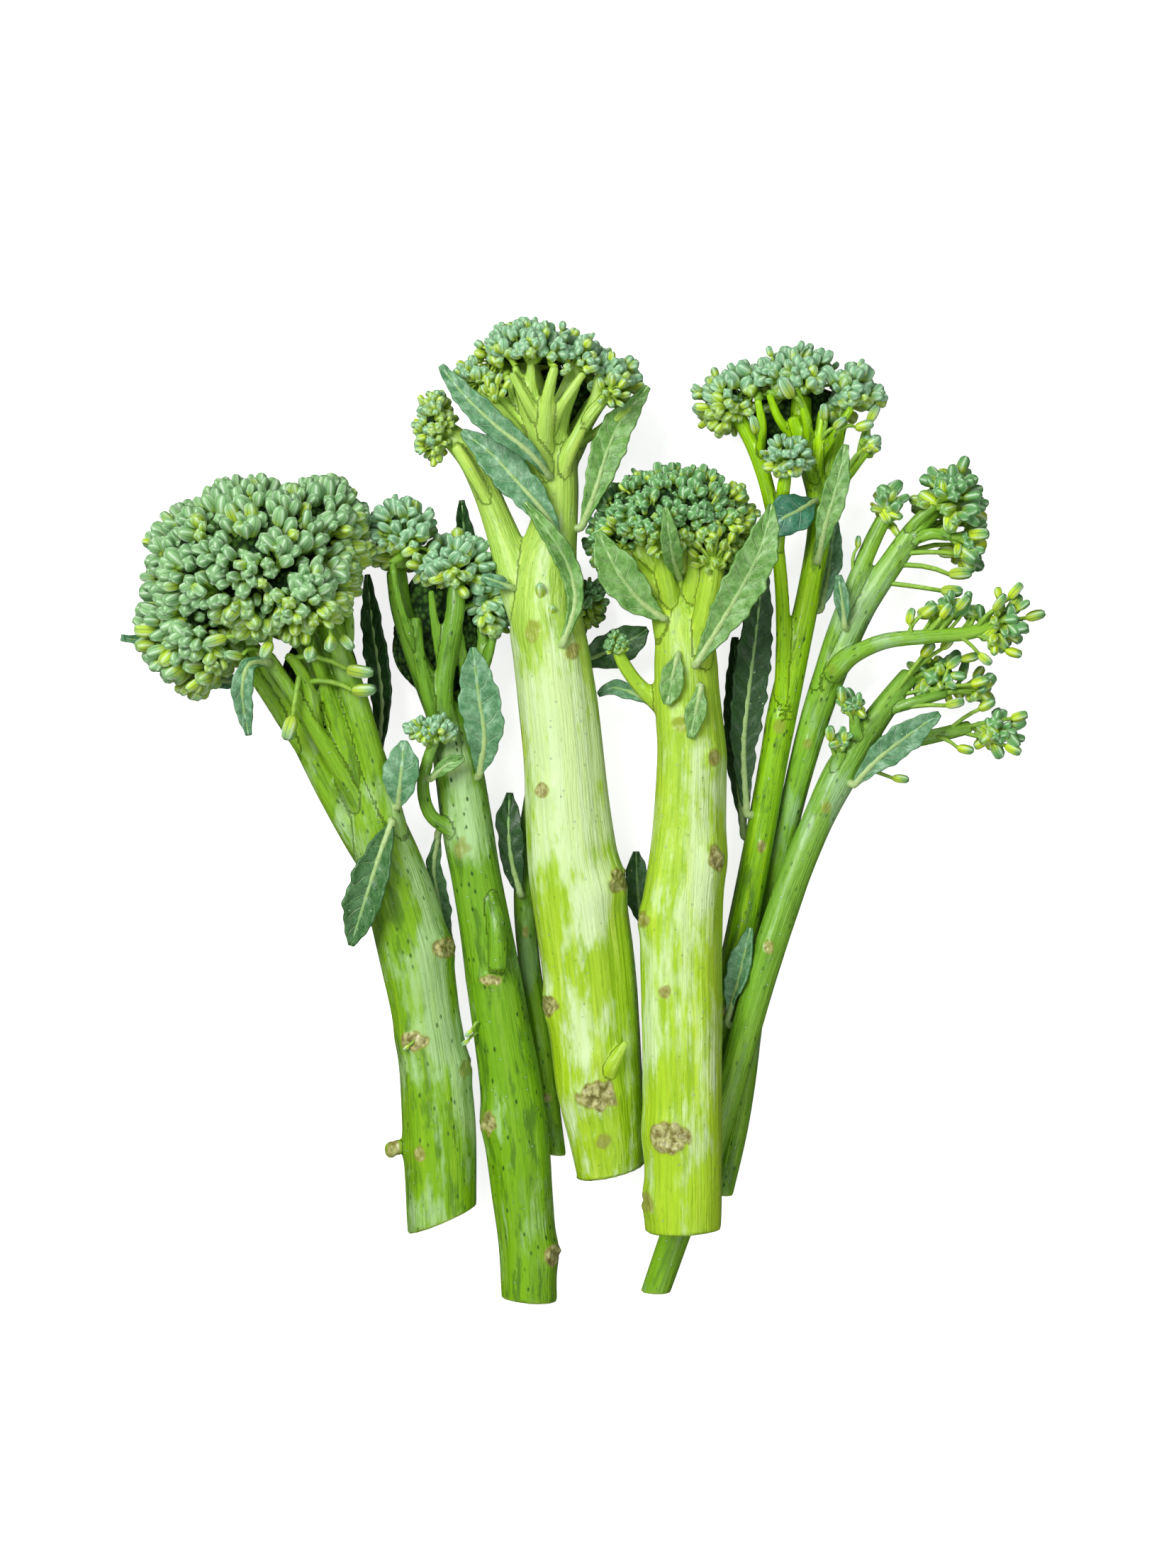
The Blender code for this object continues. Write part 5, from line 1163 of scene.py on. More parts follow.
leaf_grids = {}
for name, plan in SPEARS.items():
    for number, leaf in enumerate(plan["leaves"], 1):
        node = f"{name}_leaf_{number}"
        leaf_grids[node] = leaf_grid(node, name, leaf)
        stations = leaf_grids[node]
        spans = np.linalg.norm(stations[:, 2] - stations[:, 0], axis=1)
        print(node, "width at its stations, mm:", spans.round(1))


# %% Scattering clusters and buds
def largest_area(lobes):
    """The area of the largest lobe. A sphere's is 12.6 times its radius squared. A lobe takes the mean of the
    products of its half sizes, two at a time, in place of the square."""
    return 12.6 * max(half[0] * half[1] + half[1] * half[2] + half[0] * half[2] for _, half in lobes) / 3


def lobe_surface(lobes, count, rng):
    """Points over the outside of the joined lobes, with their outward directions and their lobe's number. A
    point is centre + half sizes x a random unit direction, and points inside another lobe are left out."""
    found, outward, lobe = [], [], []
    for number, (centre, half) in enumerate(lobes):
        direction = unit(rng.normal(size=(count, 3)))
        points = centre + half * direction
        inside = np.zeros(count, bool)
        for other, (middle, size) in enumerate(lobes):
            if other != number:
                inside |= np.linalg.norm((points - middle) / size, axis=1) < 1
        found.append(points[~inside])
        outward.append(unit(direction / half)[~inside])
        lobe.append(np.full((~inside).sum(), number))
    order = rng.permutation(sum(map(len, found)))
    return np.vstack(found)[order], np.vstack(outward)[order], np.concatenate(lobe)[order]


def spread_out(points, gaps):
    """Numbers of the points kept: each in turn stays if no point kept so far is nearer than its gap."""
    kept = np.empty((len(points), 3))
    chosen = []
    for number, (point, gap) in enumerate(zip(points, gaps)):
        near = kept[:len(chosen)] - point
        if not len(chosen) or (near * near).sum(axis=1).min() > gap * gap:
            kept[len(chosen)] = point
            chosen.append(number)
    return np.array(chosen)


def clear_of(points, others, radii, margin):
    """Whether each point is further than radius + margin from every one of the others."""
    reach = radii.max() + margin
    low, high = points.min(axis=0) - reach, points.max(axis=0) + reach
    near = ((others > low) & (others < high)).all(axis=1)
    if not near.any():
        return np.ones(len(points), bool)
    clear = [(np.linalg.norm(part[:, None] - others[near][None], axis=2) - radii[near]).min(axis=1) > margin
             for part in np.array_split(points, max(1, len(points) // 1500))]
    return np.concatenate(clear)


leaf_points = np.vstack([((1 - t) * rows[:-1] + t * rows[1:]).reshape(-1, 3)
                         for rows in leaf_grids.values() for t in (0.0, 0.25, 0.5, 0.75)])
leaf_reach = np.full(len(leaf_points), 0.6)
CANDIDATES_PER_BUD = 6
print("points that stand for the leaves:", len(leaf_points))


# %% A crown's layout
CANDIDATES_PER_YOUNG_BUD = 4
YOUNG_RIPE = 0.35
MASS_GRID, HEART_GRID = (24, 40), (40, 112)  # rows and columns


def crown_axis(name, lobes):
    """Where the crown's branches point, from those that end in or near its lobes."""
    def gap(knots):
        return min(np.linalg.norm((knots[-1, :3] - middle) / half) for middle, half in lobes)
    ends = [knots for knots in tubes[name] if gap(knots) < 1.35] or [min(tubes[name], key=gap)]
    return unit(np.mean([directions(knots)[-1] for knots in ends], axis=0))


def crown_layout(name, lobes, settings, earlier, rng):
    """Scatters clusters, then buds, over the open side of the lobes, clear of stems, leaves and earlier crowns."""
    length, gap, cluster_gap, _, opening = settings
    axis = crown_axis(name, lobes)
    sizes = [half.prod() for _, half in lobes]
    heart = np.average([middle for middle, _ in lobes], axis=0, weights=sizes)
    heart = heart - axis * lobes[int(np.argmax(sizes))][1].min() * 0.8
    area = largest_area(lobes)
    points, outward, lobe = lobe_surface(lobes, int(CANDIDATES_PER_BUD * area / gap ** 2), rng)
    opening = np.broadcast_to(opening, len(lobes))[lobe]
    keep = (outward @ axis > opening - rng.uniform(0, 0.35, len(points))) & (points[:, 2] > 0.7)
    for middle, half in earlier:
        keep &= np.linalg.norm((points - middle) / half, axis=1) > 0.97
    keep &= clear_of(points - outward * length * 0.5, balls[:, :3], balls[:, 3], 0.15)
    keep &= clear_of(points, leaf_points, leaf_reach, 0.9)
    points, outward = points[keep], outward[keep]
    hubs = spread_out(points, rng.uniform(0.75, 1.25, len(points)) * cluster_gap)
    to_hub = np.linalg.norm(points[:, None] - points[hubs][None], axis=2)
    share = np.clip(to_hub.min(axis=1) / (0.55 * cluster_gap), 0, 1.25)
    chosen = spread_out(points, gap * (0.78 + 0.34 * share) * rng.uniform(0.9, 1.12, len(points)))
    hub_axis = unit(outward[hubs] + 0.5 * unit(points[hubs] - heart) + 0.2 * axis)
    own = to_hub.argmin(axis=1)[chosen]
    if name in RACEMES:
        points = points - outward * rng.uniform(-0.5, 2.2, len(points))[:, None]
    return {"axis": axis, "points": points[chosen], "outward": outward[chosen], "share": share[chosen],
            "own": own, "hub": points[hubs], "hub_axis": hub_axis, "lobe": lobe[keep][chosen]}


def crown_shapes(settings, turned, layout, rng):
    """Feet, aims, lengths and ripeness of the buds, their stalks up from the cluster's stalk, and where they
    meet it. `turned` is how ripe the lobes are."""
    length, _, cluster_gap, dome, _ = settings
    own, share, outward = layout["own"], layout["share"], layout["outward"]
    hub, hub_axis = layout["hub"][own], layout["hub_axis"][own]
    away = layout["points"] - hub
    lean = unit(away - (away * hub_axis).sum(axis=1, keepdims=True) * hub_axis)
    aims = unit(0.5 * outward + 0.45 * hub_axis + (0.42 * share)[:, None] * lean
                + rng.normal(0, 0.17, (len(own), 3)))
    lengths = length * (0.80 + 0.26 * share) * np.exp(rng.normal(0, 0.17, len(own)))
    rise = dome * (0.65 - 1.15 * share ** 2) + rng.uniform(-0.09, 0.09, len(own)) * length
    feet = layout["points"] + outward * rise[:, None] - aims * lengths[:, None]
    turned = turned[layout["lobe"]] * rng.uniform(0.5, 1.3, len(own))
    ripe = np.clip(turned + smoothstep(0.15, -0.6, outward @ layout["axis"]) * 0.75
                   + (rng.uniform(size=len(own)) < 0.14) * rng.uniform(0.4, 1.0, len(own)), 0, 1)
    meet = layout["hub"] - layout["hub_axis"] * (0.55 * cluster_gap + length * 0.8)
    thick = np.full(len(own), 0.085 * length + 0.05)
    pedicels = (meet[own], feet - aims * (0.4 * np.linalg.norm(feet - meet[own], axis=1))[:, None],
                feet + aims * (0.12 * lengths)[:, None], thick * 1.1, thick)
    return feet, aims, lengths, ripe, pedicels, meet


def cluster_stalks(name, settings, layout, meet, rng):
    """A stalk from each cluster back to the nearest point of the spear's outer branches that lies behind it."""
    outer = branch_points(name)[0]
    gap = meet[:, None] - outer[None]
    cost = np.linalg.norm(gap, axis=2) + 2.5 * np.maximum(0, -(gap @ layout["axis"]) + 1.0)
    roots = outer[cost.argmin(axis=1)]
    far = np.linalg.norm(meet - roots, axis=1)
    radius = np.full(len(meet), 0.28 * np.sqrt(settings[2])) * rng.uniform(0.85, 1.15, len(meet))
    return roots, meet - layout["hub_axis"] * (0.5 * far)[:, None], meet + layout["hub_axis"] * 0.4, radius * 1.15, \
        radius


def branch_points(name):
    """Points along the outer halves of the spear's branches and twigs, with their directions."""
    routes = [smooth_route(knots, 1.0) for knots in tubes[name]]
    routes += [smooth_route(np.array(twig, float), 1.0) + (*shifts[name], 0) for twig in TWIGS[name]]
    return (np.vstack([route[len(route) // 2:, :3] for route in routes]),
            np.vstack([directions(route)[len(route) // 2:] for route in routes]))


def raceme_stalks(name, feet, aims, lengths):
    """A long stalk for each bud, from the point of a branch that it can leave at a narrow angle: the least
    distance + 3 x how far it falls short of 0.8 of the distance ahead."""
    points, ahead = branch_points(name)
    gap = feet[:, None] - points[None]
    far = np.linalg.norm(gap, axis=2)
    cost = far + 3 * np.maximum(0, 0.8 * far - (gap * ahead[None]).sum(axis=2)) + 2 * np.maximum(0, 4 - far)
    root = cost.argmin(axis=1)
    far = far[np.arange(len(feet)), root]
    bends = points[root] + ahead[root] * (0.5 * far)[:, None]
    thick = 0.07 * lengths + 0.13
    return points[root], bends, feet + aims * (0.12 * lengths)[:, None], thick * 1.25, thick


def sphere_angles(rows, columns):
    """The angle down from a sphere's pole and the angle round it, for each point of a grid between the poles."""
    return np.meshgrid(np.linspace(0, np.pi, rows + 2)[1:-1], np.linspace(0, 2 * np.pi, columns, endpoint=False),
                       indexing="ij")


def shaded_inner_mass(lobes, layout, depth, rng):
    """The crowd of young stalks deep in a crown, as one lumpy ball inside each lobe, with the shade among them
    painted dark: centre + (half size - depth) x direction x (1 + lumps). The balls sit a little towards the crown's
    outside."""
    shapes = []
    polar, turn = sphere_angles(*MASS_GRID)
    ball = np.stack([np.sin(polar) * np.cos(turn), np.sin(polar) * np.sin(turn), np.cos(polar)], axis=-1)
    ball = np.vstack([ball.reshape(-1, 3), (0, 0, 1), (0, 0, -1)])
    for middle, half in lobes:
        if half.min() < depth + 1.2:
            continue
        lumps = 1 + 0.05 * ripple(rng, ball, 14, (9, 9, 9))
        lumps = lumps * (1 - 0.4 * smoothstep(0.1, -0.9, ball @ layout["axis"]))
        points = middle + 0.10 * half.min() * layout["axis"] + (half - depth) * ball * lumps[:, None]
        points[:, 2] = np.maximum(points[:, 2], 0.4)
        shapes.append((points, grid_faces(*MASS_GRID, True)[:, ::-1], pole_faces(*MASS_GRID)[:, ::-1]))
    return joined(shapes) if shapes else None


def shaded_stalk_bundle(middle, half, rng):
    """A bundle of stalks in a fan, which its near-black finish paints as the shade in the fan's gaps: middle + half
    sizes x direction x (1 + ridges along the spear + lumps).
    """
    polar, turn = sphere_angles(*HEART_GRID)
    ball = np.stack([np.sin(polar) * np.cos(turn), np.cos(polar), np.sin(polar) * np.sin(turn)], axis=-1)
    ball = np.vstack([ball.reshape(-1, 3), (0, 1, 0), (0, -1, 0)])
    bent = np.r_[(turn + 0.25 * np.sin(4 * polar)).ravel(), 0, 0]
    ridges = np.r_[np.sin(polar).ravel(), 0, 0] * (0.11 * np.abs(np.cos(9 * bent)) + 0.05 * np.cos(5 * bent + 1))
    points = middle + half * ball * (1 + ridges + 0.03 * ripple(rng, ball, 12, (6, 3, 6)))[:, None]
    return points, grid_faces(*HEART_GRID, True), pole_faces(*HEART_GRID)


def young_buds(lobes, settings, layout, rng):
    """A deeper layer of short buds under the outer ones, on the same lobes drawn in."""
    length, gap, _, dome, opening = settings
    depth = 0.85 * length + 0.5 * dome
    drawn_in = [(middle, half - depth) for middle, half in lobes if half.min() > depth + 2]
    if not drawn_in:
        return None
    area = largest_area(drawn_in)
    points, outward, _ = lobe_surface(drawn_in, int(CANDIDATES_PER_YOUNG_BUD * area / gap ** 2), rng)
    keep = (outward @ layout["axis"] > np.max(opening) - 0.1) & (points[:, 2] > 1.0)
    keep &= clear_of(points - outward * length * 0.4, balls[:, :3], balls[:, 3], 0.1)
    points, outward = points[keep], outward[keep]
    chosen = spread_out(points, np.full(len(points), gap * 1.12))
    aims = unit(outward[chosen] + rng.normal(0, 0.25, (len(chosen), 3)))
    lengths = length * rng.uniform(0.6, 0.85, len(chosen))
    return points[chosen] - aims * lengths[:, None] * 0.5, aims, lengths, np.full(len(chosen), YOUNG_RIPE)


print("crown helpers ready")


# %% Every crown
BUD_SLIMNESS = {"spear_1": 0.60, "spear_3": 0.74, "spear_4": 0.74, "spear_5": 0.66}
USUAL_SLIMNESS = 0.58
earlier = []
stalk_groups = {name: [] for name in SPEARS}
for name, plan in SPEARS.items():
    for seed, (crown, own) in enumerate(plan["crowns"].items()):
        node = f"{name}_{crown}"
        rng = np.random.default_rng(1000 * int(name[-1]) + seed)
        lobes = [(np.array(lobe[:3]) + shifts[name], np.array(lobe[3:], float)) for lobe in own]
        settings = REACH[node]
        layout = crown_layout(name, lobes, settings, earlier, rng)
        turned = np.broadcast_to(RIPE.get(node, 0.0), len(lobes))
        feet, aims, lengths, ripe, pedicels, meet = crown_shapes(settings, turned, layout, rng)
        if name in RACEMES:
            stalk_groups[name].append(raceme_stalks(name, feet, aims, lengths))
            under = None
        else:
            stalk_groups[name] += [pedicels, cluster_stalks(name, settings, layout, meet, rng)]
            under = young_buds(lobes, settings, layout, rng)
            # a dark mass inside the lobes, painted as the shade between the clusters
            mass = shaded_inner_mass(lobes, layout, 0.95 * settings[0] + 0.6, rng)
            if mass:
                place(node + "_shaded_inside", new_mesh(node + "_shaded_inside", *mass), [SHADED_INNER_STALKS], "stem")
        if under:
            feet, aims, lengths, ripe = (np.concatenate(pair) for pair in zip((feet, aims, lengths, ripe), under))
        widths = lengths * BUD_SLIMNESS.get(name, USUAL_SLIMNESS) * rng.uniform(0.88, 1.12, len(lengths))
        mesh = buds_mesh(node + "_buds", feet, aims, lengths, widths, ripe, rng)
        place(node + "_buds", mesh, [bud_finishes[name]], "buds", node)
        earlier += lobes
        print(node, "buds:", len(feet), "clusters:", len(meet))


# %% Lone buds and every stalk
SNAP_MM = 6.0  # a stalk that starts this near to a branch starts on it
LONE_SLIMNESS, LONE_RIPE = 0.56, 0.5
for name in SPEARS:
    rng = np.random.default_rng(50 + int(name[-1]))
    lone = np.array([(*fan[0], *bud) for fan in LONE_BUDS.get(name, []) for bud in fan[1:]], float)
    if len(lone):
        roots, middles, lengths = lone[:, :3] + shifts[name], lone[:, 3:6] + shifts[name], lone[:, 6]
        nearby = branch_points(name)[0]
        nearest = np.linalg.norm(roots[:, None] - nearby[None], axis=2).argmin(axis=1)
        snap = np.linalg.norm(roots - nearby[nearest], axis=1) < SNAP_MM
        roots[snap] = nearby[nearest][snap]
        aims = unit(unit(middles - roots) + rng.normal(0, 0.1, (len(lone), 3)))
        feet = middles - aims * (lengths / 2)[:, None]
        bends = (roots + feet) / 2 + (0, 1.2, 0.8) + rng.normal(0, 0.6, (len(lone), 3))
        thick = 0.07 * lengths + 0.16
        stalk_groups[name].append((roots, bends, feet + aims * 0.2, thick * 1.2, thick))
        ripe = np.full(len(lone), RIPE.get(name, LONE_RIPE))
        mesh = buds_mesh(name + "_lone_buds", feet, aims, lengths, lengths * LONE_SLIMNESS, ripe, rng)
        place(name + "_lone_buds", mesh, [bud_finishes[name]], "buds")
    # a near-black bundle of stalks, painted as the shade in the fan's gaps
    if name in SHADED_HEARTS:
        middle, half = np.array(SHADED_HEARTS[name][:3]) + shifts[name], np.array(SHADED_HEARTS[name][3:])
        place(name + "_shaded_heart", new_mesh(name + "_shaded_heart", *shaded_stalk_bundle(middle, half, rng)), [SHADED_INNER_STALKS], "stem")
    mesh = stalks_mesh(name + "_stalks", stalk_groups[name])
    place(name + "_stalks", mesh, [stalk_finishes[name]], "stem")
    print(name, "stalk faces:", len(mesh.polygons), "lone buds:", len(lone))


# %% [markdown]
# ## Leaves
# The leaves are narrow, waxy and a little leathery, with a thick pale midrib and side veins that run forward
# from it. A leaf's CAD solid gives eight stations of three points. A smooth surface through them, with a
# rippled and nibbled edge, makes the blade. It is given its wall by Solidify, and the midrib is a tapering
# round stalk that lies in it and runs back into the stem.

# %% The leaf finishes
RIB_GREEN = (0.44, 0.60, 0.24)
VEIN_GAP_MM, VEIN_LEAN = 3.4, 0.85  # between side veins, and how far each runs forward by the edge, in gaps


def leaf_finish(name, colour, vein, bloom):
    """A blade's finish: mottled green, forward-running side veins, a finer net between them, and some bloom."""
    leaf = Finish(name)
    blade = leaf.tone("blade")[1]
    across, along, size = leaf.node("SeparateXYZ", {0: blade}).outputs
    off_middle = leaf.math("ABSOLUTE", across)
    where = leaf.position()
    mottle = leaf.noise(where, 0.55, 4.0, 0.6)
    shift = leaf.between(leaf.noise(where, 0.16, 1.0), 0.3, 0.7, -0.2, 0.2)
    run = leaf.math("MULTIPLY", leaf.math("MULTIPLY", along, size), 1 / VEIN_GAP_MM)
    step = leaf.math("ADD", leaf.math("SUBTRACT", run, leaf.math("MULTIPLY", off_middle, VEIN_LEAN)), shift)
    line = leaf.math("ABSOLUTE", leaf.math("SUBTRACT", leaf.math("FRACT", step), 0.5))
    side_vein = leaf.between(line, 0.44, 0.495)
    side_vein = leaf.math("MULTIPLY", side_vein, leaf.between(off_middle, 0.5, 1.0, 1.0, 0.15))
    net = leaf.node("TexVoronoi", {"Vector": where, "Scale": 1.1}, feature="DISTANCE_TO_EDGE").outputs[0]
    fine_vein = leaf.between(net, 0.02, 0.10, 0.2, 0.0)
    shade = tuple(channel * share for channel, share in zip(colour, (0.45, 0.6, 0.5)))
    green = leaf.blend(leaf.between(mottle, 0.32, 0.68), shade, colour)
    green = leaf.blend(leaf.between(mottle, 0.45, 0.8, 0.0, bloom), green, (0.42, 0.62, 0.44))
    green = leaf.blend(leaf.math("MAXIMUM", side_vein, fine_vein), green, vein)
    green = leaf.blend(leaf.between(off_middle, 0.05, 0.14, 0.95, 0.0), green, vein)
    # painted highlights and painted dark rims of a few water drops
    green = leaf.painted_dew_glints(green, 0.12)
    leaf.bump(leaf.math("ADD", leaf.math("MULTIPLY", side_vein, -0.6), mottle), 0.3)
    return leaf.set(Base_Color=green, Roughness=0.42, Subsurface_Weight=0.08, Subsurface_Radius=(0.4, 1.0, 0.2),
                    Subsurface_Scale=0.0005, Specular_IOR_Level=0.5)


def rib_finish():
    """The pale midrib, greener towards the tip."""
    rib = Finish("leaf_rib")
    level = rib.tone("level")[0]
    where = rib.position()
    mottle = rib.noise(where, 1.5, 3.0)
    green = rib.blend(rib.between(level, 0.1, 1.0), RIB_GREEN, (0.25, 0.46, 0.16))
    green = rib.blend(rib.between(mottle, 0.4, 0.7, 0.0, 0.5), green, (0.24, 0.42, 0.08))
    rib.bump(mottle, 0.15)
    return rib.set(Base_Color=green, Roughness=0.42, Specular_IOR_Level=0.45)


LEAF_RIB = rib_finish()
blue_leaf = leaf_finish("blue_green_leaf", (0.13, 0.34, 0.15), (0.36, 0.58, 0.34), 0.45)
fresh_leaf = leaf_finish("fresh_green_leaf", (0.20, 0.43, 0.08), (0.44, 0.64, 0.28), 0.35)
teal_leaf = leaf_finish("teal_leaf", (0.035, 0.22, 0.12), (0.30, 0.52, 0.36), 0.1)
# painted shade: a near-black copy of the leaf finish for the leaves that lie low under the others
shaded_under_leaf = leaf_finish("shaded_under_leaf", (0.022, 0.085, 0.018), (0.09, 0.20, 0.05), 0.0)
deep_leaf = leaf_finish("deep_green_leaf", (0.06, 0.19, 0.05), (0.26, 0.44, 0.17), 0.15)
LEAF_LOOKS = {
    shaded_under_leaf: ["spear_1_leaf_3", "spear_2_leaf_4", "spear_5_leaf_4", "spear_5_leaf_5", "spear_8_leaf_1"],
    deep_leaf: ["spear_1_leaf_4", "spear_2_leaf_1", "spear_4_leaf_7", "spear_8_leaf_2"],
    teal_leaf: ["spear_5_leaf_1"],
    fresh_leaf: ["spear_4_leaf_1", "spear_3_leaf_3", "spear_4_leaf_2", "spear_4_leaf_5", "spear_5_leaf_2",
                 "spear_2_leaf_3", "spear_3_leaf_4", "spear_4_leaf_3", "spear_4_leaf_4"],
}
leaf_finishes = {node: finish for finish, nodes in LEAF_LOOKS.items() for node in nodes}
print("leaf finishes:", len(LEAF_LOOKS) + 1)


# %% Blades and midribs
BLADE_WALL = 0.45
RIB_SIDES = 10
BLADE_ROWS_PER_MM = 2.2
BLADE_COLUMNS = 21


def blade_surface(stations, rng):
    """A rippled blade through the stations. Across the blade, u from -1 to 1, it is the parabola through the
    three points. The ripple is a wave along the length times u^2, and the edge is nibbled by a few more."""
    columns = [smooth_route(stations[:, column], 0.25) for column in range(COLUMNS)]
    length = np.linalg.norm(np.diff(columns[1], axis=0), axis=1).sum()
    rows = int(np.clip(length * BLADE_ROWS_PER_MM, 20, 90))
    v = np.linspace(0, 1, rows)
    left, middle, right = (np.stack([np.interp(v, np.linspace(0, 1, len(line)), line[:, axis])
                                     for axis in range(3)], axis=1) for line in columns)
    u = np.linspace(-1, 1, BLADE_COLUMNS)[None, :, None]
    phase = rng.uniform(0, 2 * np.pi, 6)
    wave = v[:, None] * length
    edge = 1 + 0.05 * np.sin(wave * 1.1 + phase[0]) + 0.04 * np.sin(wave * 2.3 + phase[1])
    edge = edge - 0.10 * np.clip(np.sin(wave * 0.55 + phase[2]) - 0.6, 0, 1)
    reach = np.where(u[..., 0] < 0, edge, np.roll(edge, 3, axis=0))
    reach = (u[..., 0] * reach)[..., None]
    half, crown = (right - left) / 2, (right + left) / 2 - middle
    points = middle[:, None] + reach * half[:, None] + reach ** 2 * crown[:, None]
    normal = unit(np.cross(half, directions(middle)))
    width = np.linalg.norm(half, axis=1)[:, None]
    lift = 0.10 * width * np.sin(wave * 0.9 + phase[3] + np.sign(u[..., 0]) * 1.3) * u[..., 0] ** 2
    lift = lift - 0.16 * np.exp(-(u[..., 0] * width / 0.5) ** 2)
    side_vein = wave / VEIN_GAP_MM - np.abs(u[..., 0]) * VEIN_LEAN
    lift = lift - 0.14 * np.cos(2 * np.pi * side_vein) * (1 - u[..., 0] ** 2)
    points = points + lift[..., None] * normal[:, None]
    across = np.broadcast_to(u[..., 0], (rows, BLADE_COLUMNS))
    along = np.broadcast_to(v[:, None], across.shape)
    blade = np.stack([across, along, np.full(across.shape, length)], axis=-1)
    return points, blade.reshape(-1, 3), middle, normal


def rib_route(middle, normal):
    """The midrib's route: from inside the nearest stem, along the blade's middle, thinning to the tip."""
    gap = np.linalg.norm(balls[:, :3] - middle[0], axis=1) - balls[:, 3]
    root = balls[gap.argmin(), :3] - middle[0]
    root = middle[0] + unit(root) * min(np.linalg.norm(root), gap.min() + 1.2)
    inner = middle[::4] - 0.12 * normal[::4]
    route = smooth_route(np.vstack([root, inner]), 0.6)
    share = np.linspace(0, 1, len(route))[:, None]
    return np.hstack([route, 0.82 - 0.62 * share ** 0.8])


def leaf_piece(node, stations, number):
    """One leaf's two pieces: its blade, which stands for the CAD leaf, and the midrib under it."""
    rng = np.random.default_rng(300 + number)
    points, blade, middle, normal = blade_surface(stations, rng)
    sheet = new_mesh(node + "_blade", points.reshape(-1, 3), grid_faces(len(points), BLADE_COLUMNS, False),
                     tones={"blade": blade})
    sheet = applied(sheet, ("SOLIDIFY", {"thickness": BLADE_WALL * MM, "offset": 0.0}))
    sheet.shade_smooth()
    route = rib_route(middle, normal)
    level = np.r_[np.repeat(np.linspace(0, 1, len(route)), RIB_SIDES), 0.0, 1.0]
    place(node + "_blade", sheet, [leaf_finishes.get(node, blue_leaf)], "leaf", node)
    rib = new_mesh(node + "_rib", *tube_surface(route, RIB_SIDES), tones={"level": level})
    place(node + "_rib", rib, [LEAF_RIB], "leaf")


for number, (node, stations) in enumerate(leaf_grids.items()):
    leaf_piece(node, stations, number)
print("leaves:", len(leaf_grids))

# %% [markdown]
# ## Floor, light and camera
# The bunch lies on a plain white surface under broad, soft daylight. One very large lamp gives the direction,
# from the upper left, and a bright sky fills the rest, dim below the horizon. The floor gives off a little light
# of its own, as a backlit white table does, so that shadows on it stay faint, but it throws none on the stems,
# whose sides would turn flat and pale. A white wall far round it hides the sky's own grey from a low camera, and
# lets all light through. The camera looks straight down from 600 mm.

# %% Floor
FLOOR_SIDE = 3000.0
WALL_SIDES = 64


def white_piece(name, points, faces, finish_name, glow):
    """A white piece that shines a little. The bunch's own shading and shine don't see it."""
    piece = bpy.data.objects.new(name, new_mesh(name, points, faces))
    bpy.context.scene.collection.objects.link(piece)
    piece.data.materials.append(Finish(finish_name).set(
        Base_Color=(0.9, 0.9, 0.9, 1.0), Roughness=0.7, Emission_Color=(1.0, 1.0, 1.0, 1.0), Emission_Strength=glow))
    piece.visible_diffuse = piece.visible_glossy = False
    return piece


corners = np.array([(-1, -1, 0), (1, -1, 0), (1, 1, 0), (-1, 1, 0)]) * FLOOR_SIDE
floor = white_piece("floor", corners, np.array([[0, 1, 2, 3]]), "white_table", 0.8)
floor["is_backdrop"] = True

# %% Wall
turn = np.linspace(0, 2 * np.pi, WALL_SIDES, endpoint=False)
ring = 0.95 * FLOOR_SIDE * np.stack([np.cos(turn), np.sin(turn), np.zeros(WALL_SIDES)], axis=1)
rises = np.array([-10.0, FLOOR_SIDE])[:, None, None] * (0, 0, 1)
wall = white_piece("wall", (ring + rises).reshape(-1, 3), grid_faces(2, WALL_SIDES, True)[:, ::-1], "white_wall", 1.0)
wall.visible_shadow = False
wall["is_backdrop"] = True

# %% Light
sky = bpy.data.worlds.new("sky")
sky.use_nodes = True
background = sky.node_tree.nodes["Background"]
background.inputs["Color"].default_value = (1.0, 1.0, 1.0, 1.0)
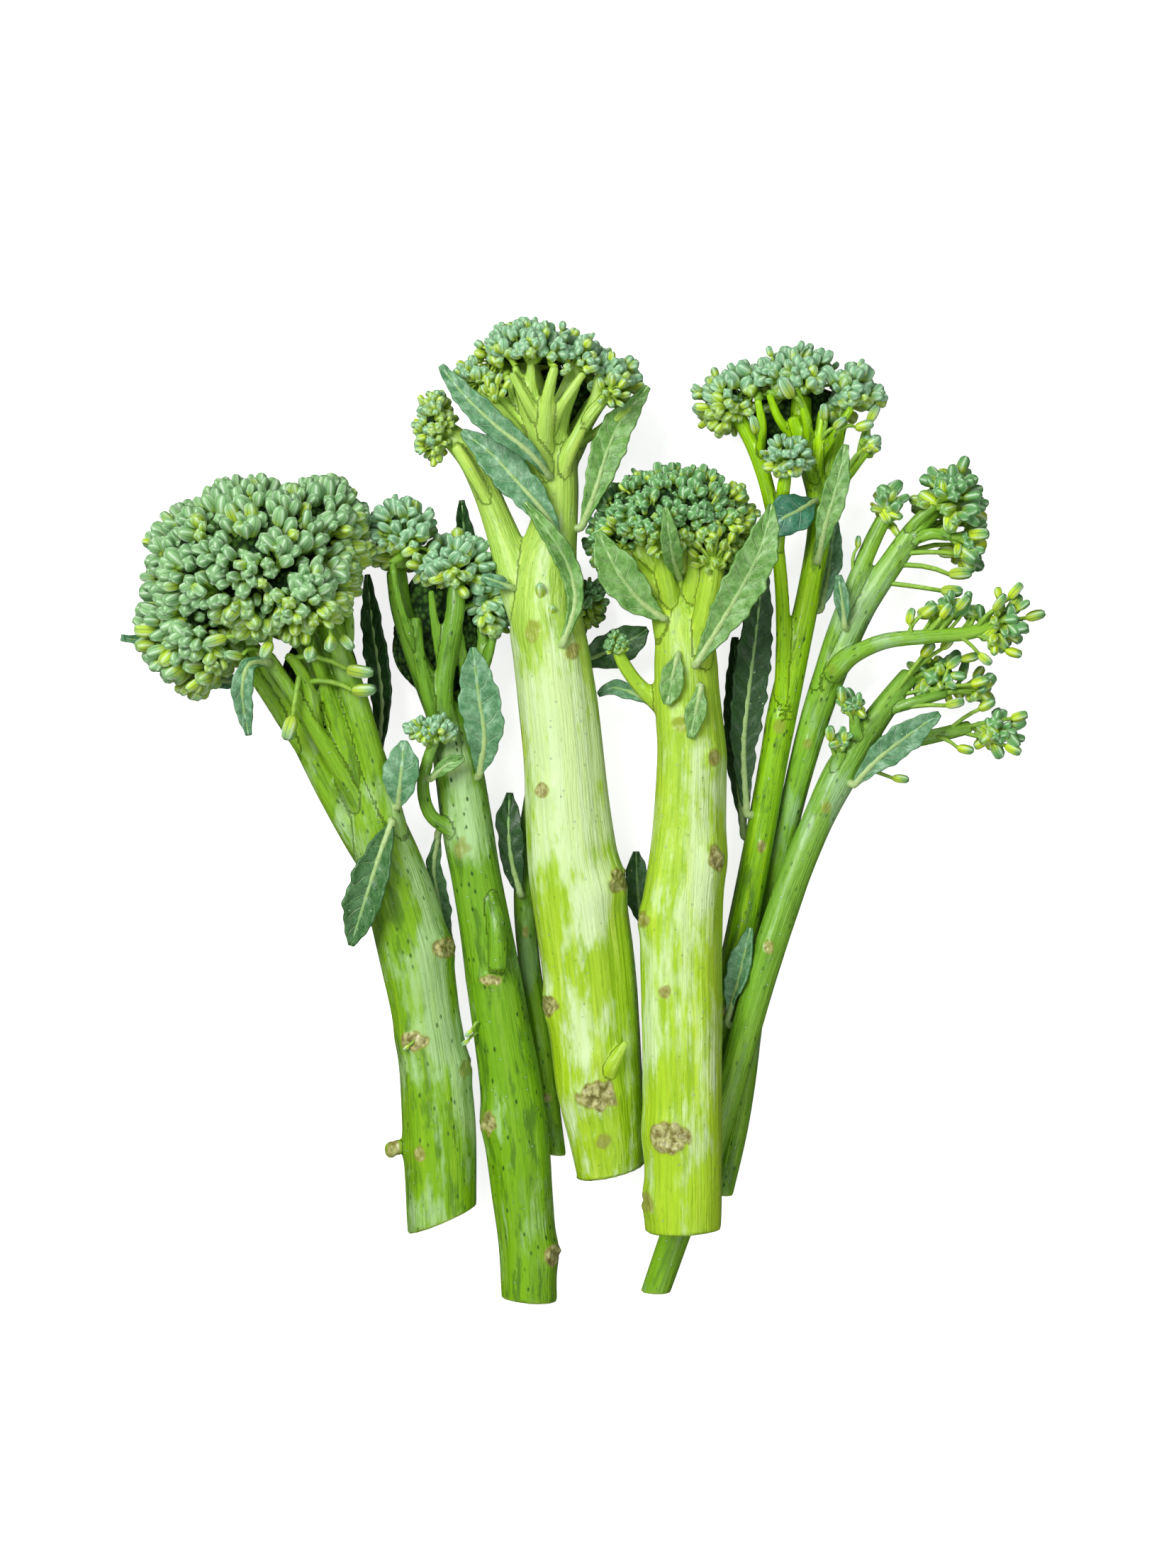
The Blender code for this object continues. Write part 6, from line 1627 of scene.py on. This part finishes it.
toward = sky.node_tree.nodes.new("ShaderNodeTexCoord")
height = sky.node_tree.nodes.new("ShaderNodeSeparateXYZ")
fade = sky.node_tree.nodes.new("ShaderNodeMapRange")
for key, value in {"From Min": -0.25, "From Max": 0.45, "To Min": 0.07, "To Max": 0.34}.items():
    fade.inputs[key].default_value = value
sky.node_tree.links.new(toward.outputs["Generated"], height.inputs[0])
sky.node_tree.links.new(height.outputs["Z"], fade.inputs["Value"])
sky.node_tree.links.new(fade.outputs[0], background.inputs["Strength"])
bpy.context.scene.world = sky
bpy.context.scene.view_settings.view_transform = "Standard"


def soft_lamp(name, place_mm, size_mm, watts, aim_mm=(0, 0, 15)):
    """A square lamp at a place, turned to face a point."""
    lamp = bpy.data.lights.new(name, "AREA")
    lamp.size, lamp.energy = size_mm * MM, watts
    carrier = bpy.data.objects.new(name, lamp)
    bpy.context.scene.collection.objects.link(carrier)
    carrier.location = [value * MM for value in place_mm]
    from_lamp = np.array(aim_mm, float) - place_mm
    carrier.rotation_euler = mathutils.Vector(from_lamp).to_track_quat("-Z", "Y").to_euler()
    return carrier


soft_lamp("window", (-420, 380, 760), 480, 8.6)
soft_lamp("front_fill", (300, -500, 700), 500, 1.5)

# %% Camera
VIEW_MM = (2.4, 5.6)  # the point under the camera, on the routes' own grid
HEIGHT_MM = 600.0
LENS_MM = 73.2
camera = bpy.data.objects.new("camera", bpy.data.cameras.new("camera"))
camera.data.lens, camera.data.sensor_width = LENS_MM, 36.0
camera.data.clip_start, camera.data.clip_end = 0.01, 20.0
camera.location = ((VIEW_MM[0] + sideways[0]) * MM, (VIEW_MM[1] + sideways[1]) * MM, HEIGHT_MM * MM)
bpy.context.scene.collection.objects.link(camera)
bpy.context.scene.camera = camera

# %% Size and finish
LOOKS_BOX = [list(corner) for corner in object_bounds()]
for label, (low, high) in (("CAD", CAD_BOX), ("looks", LOOKS_BOX)):
    print(label, "box, mm:", [round(1000 * (top - bottom), 1) for bottom, top in zip(low, high)])
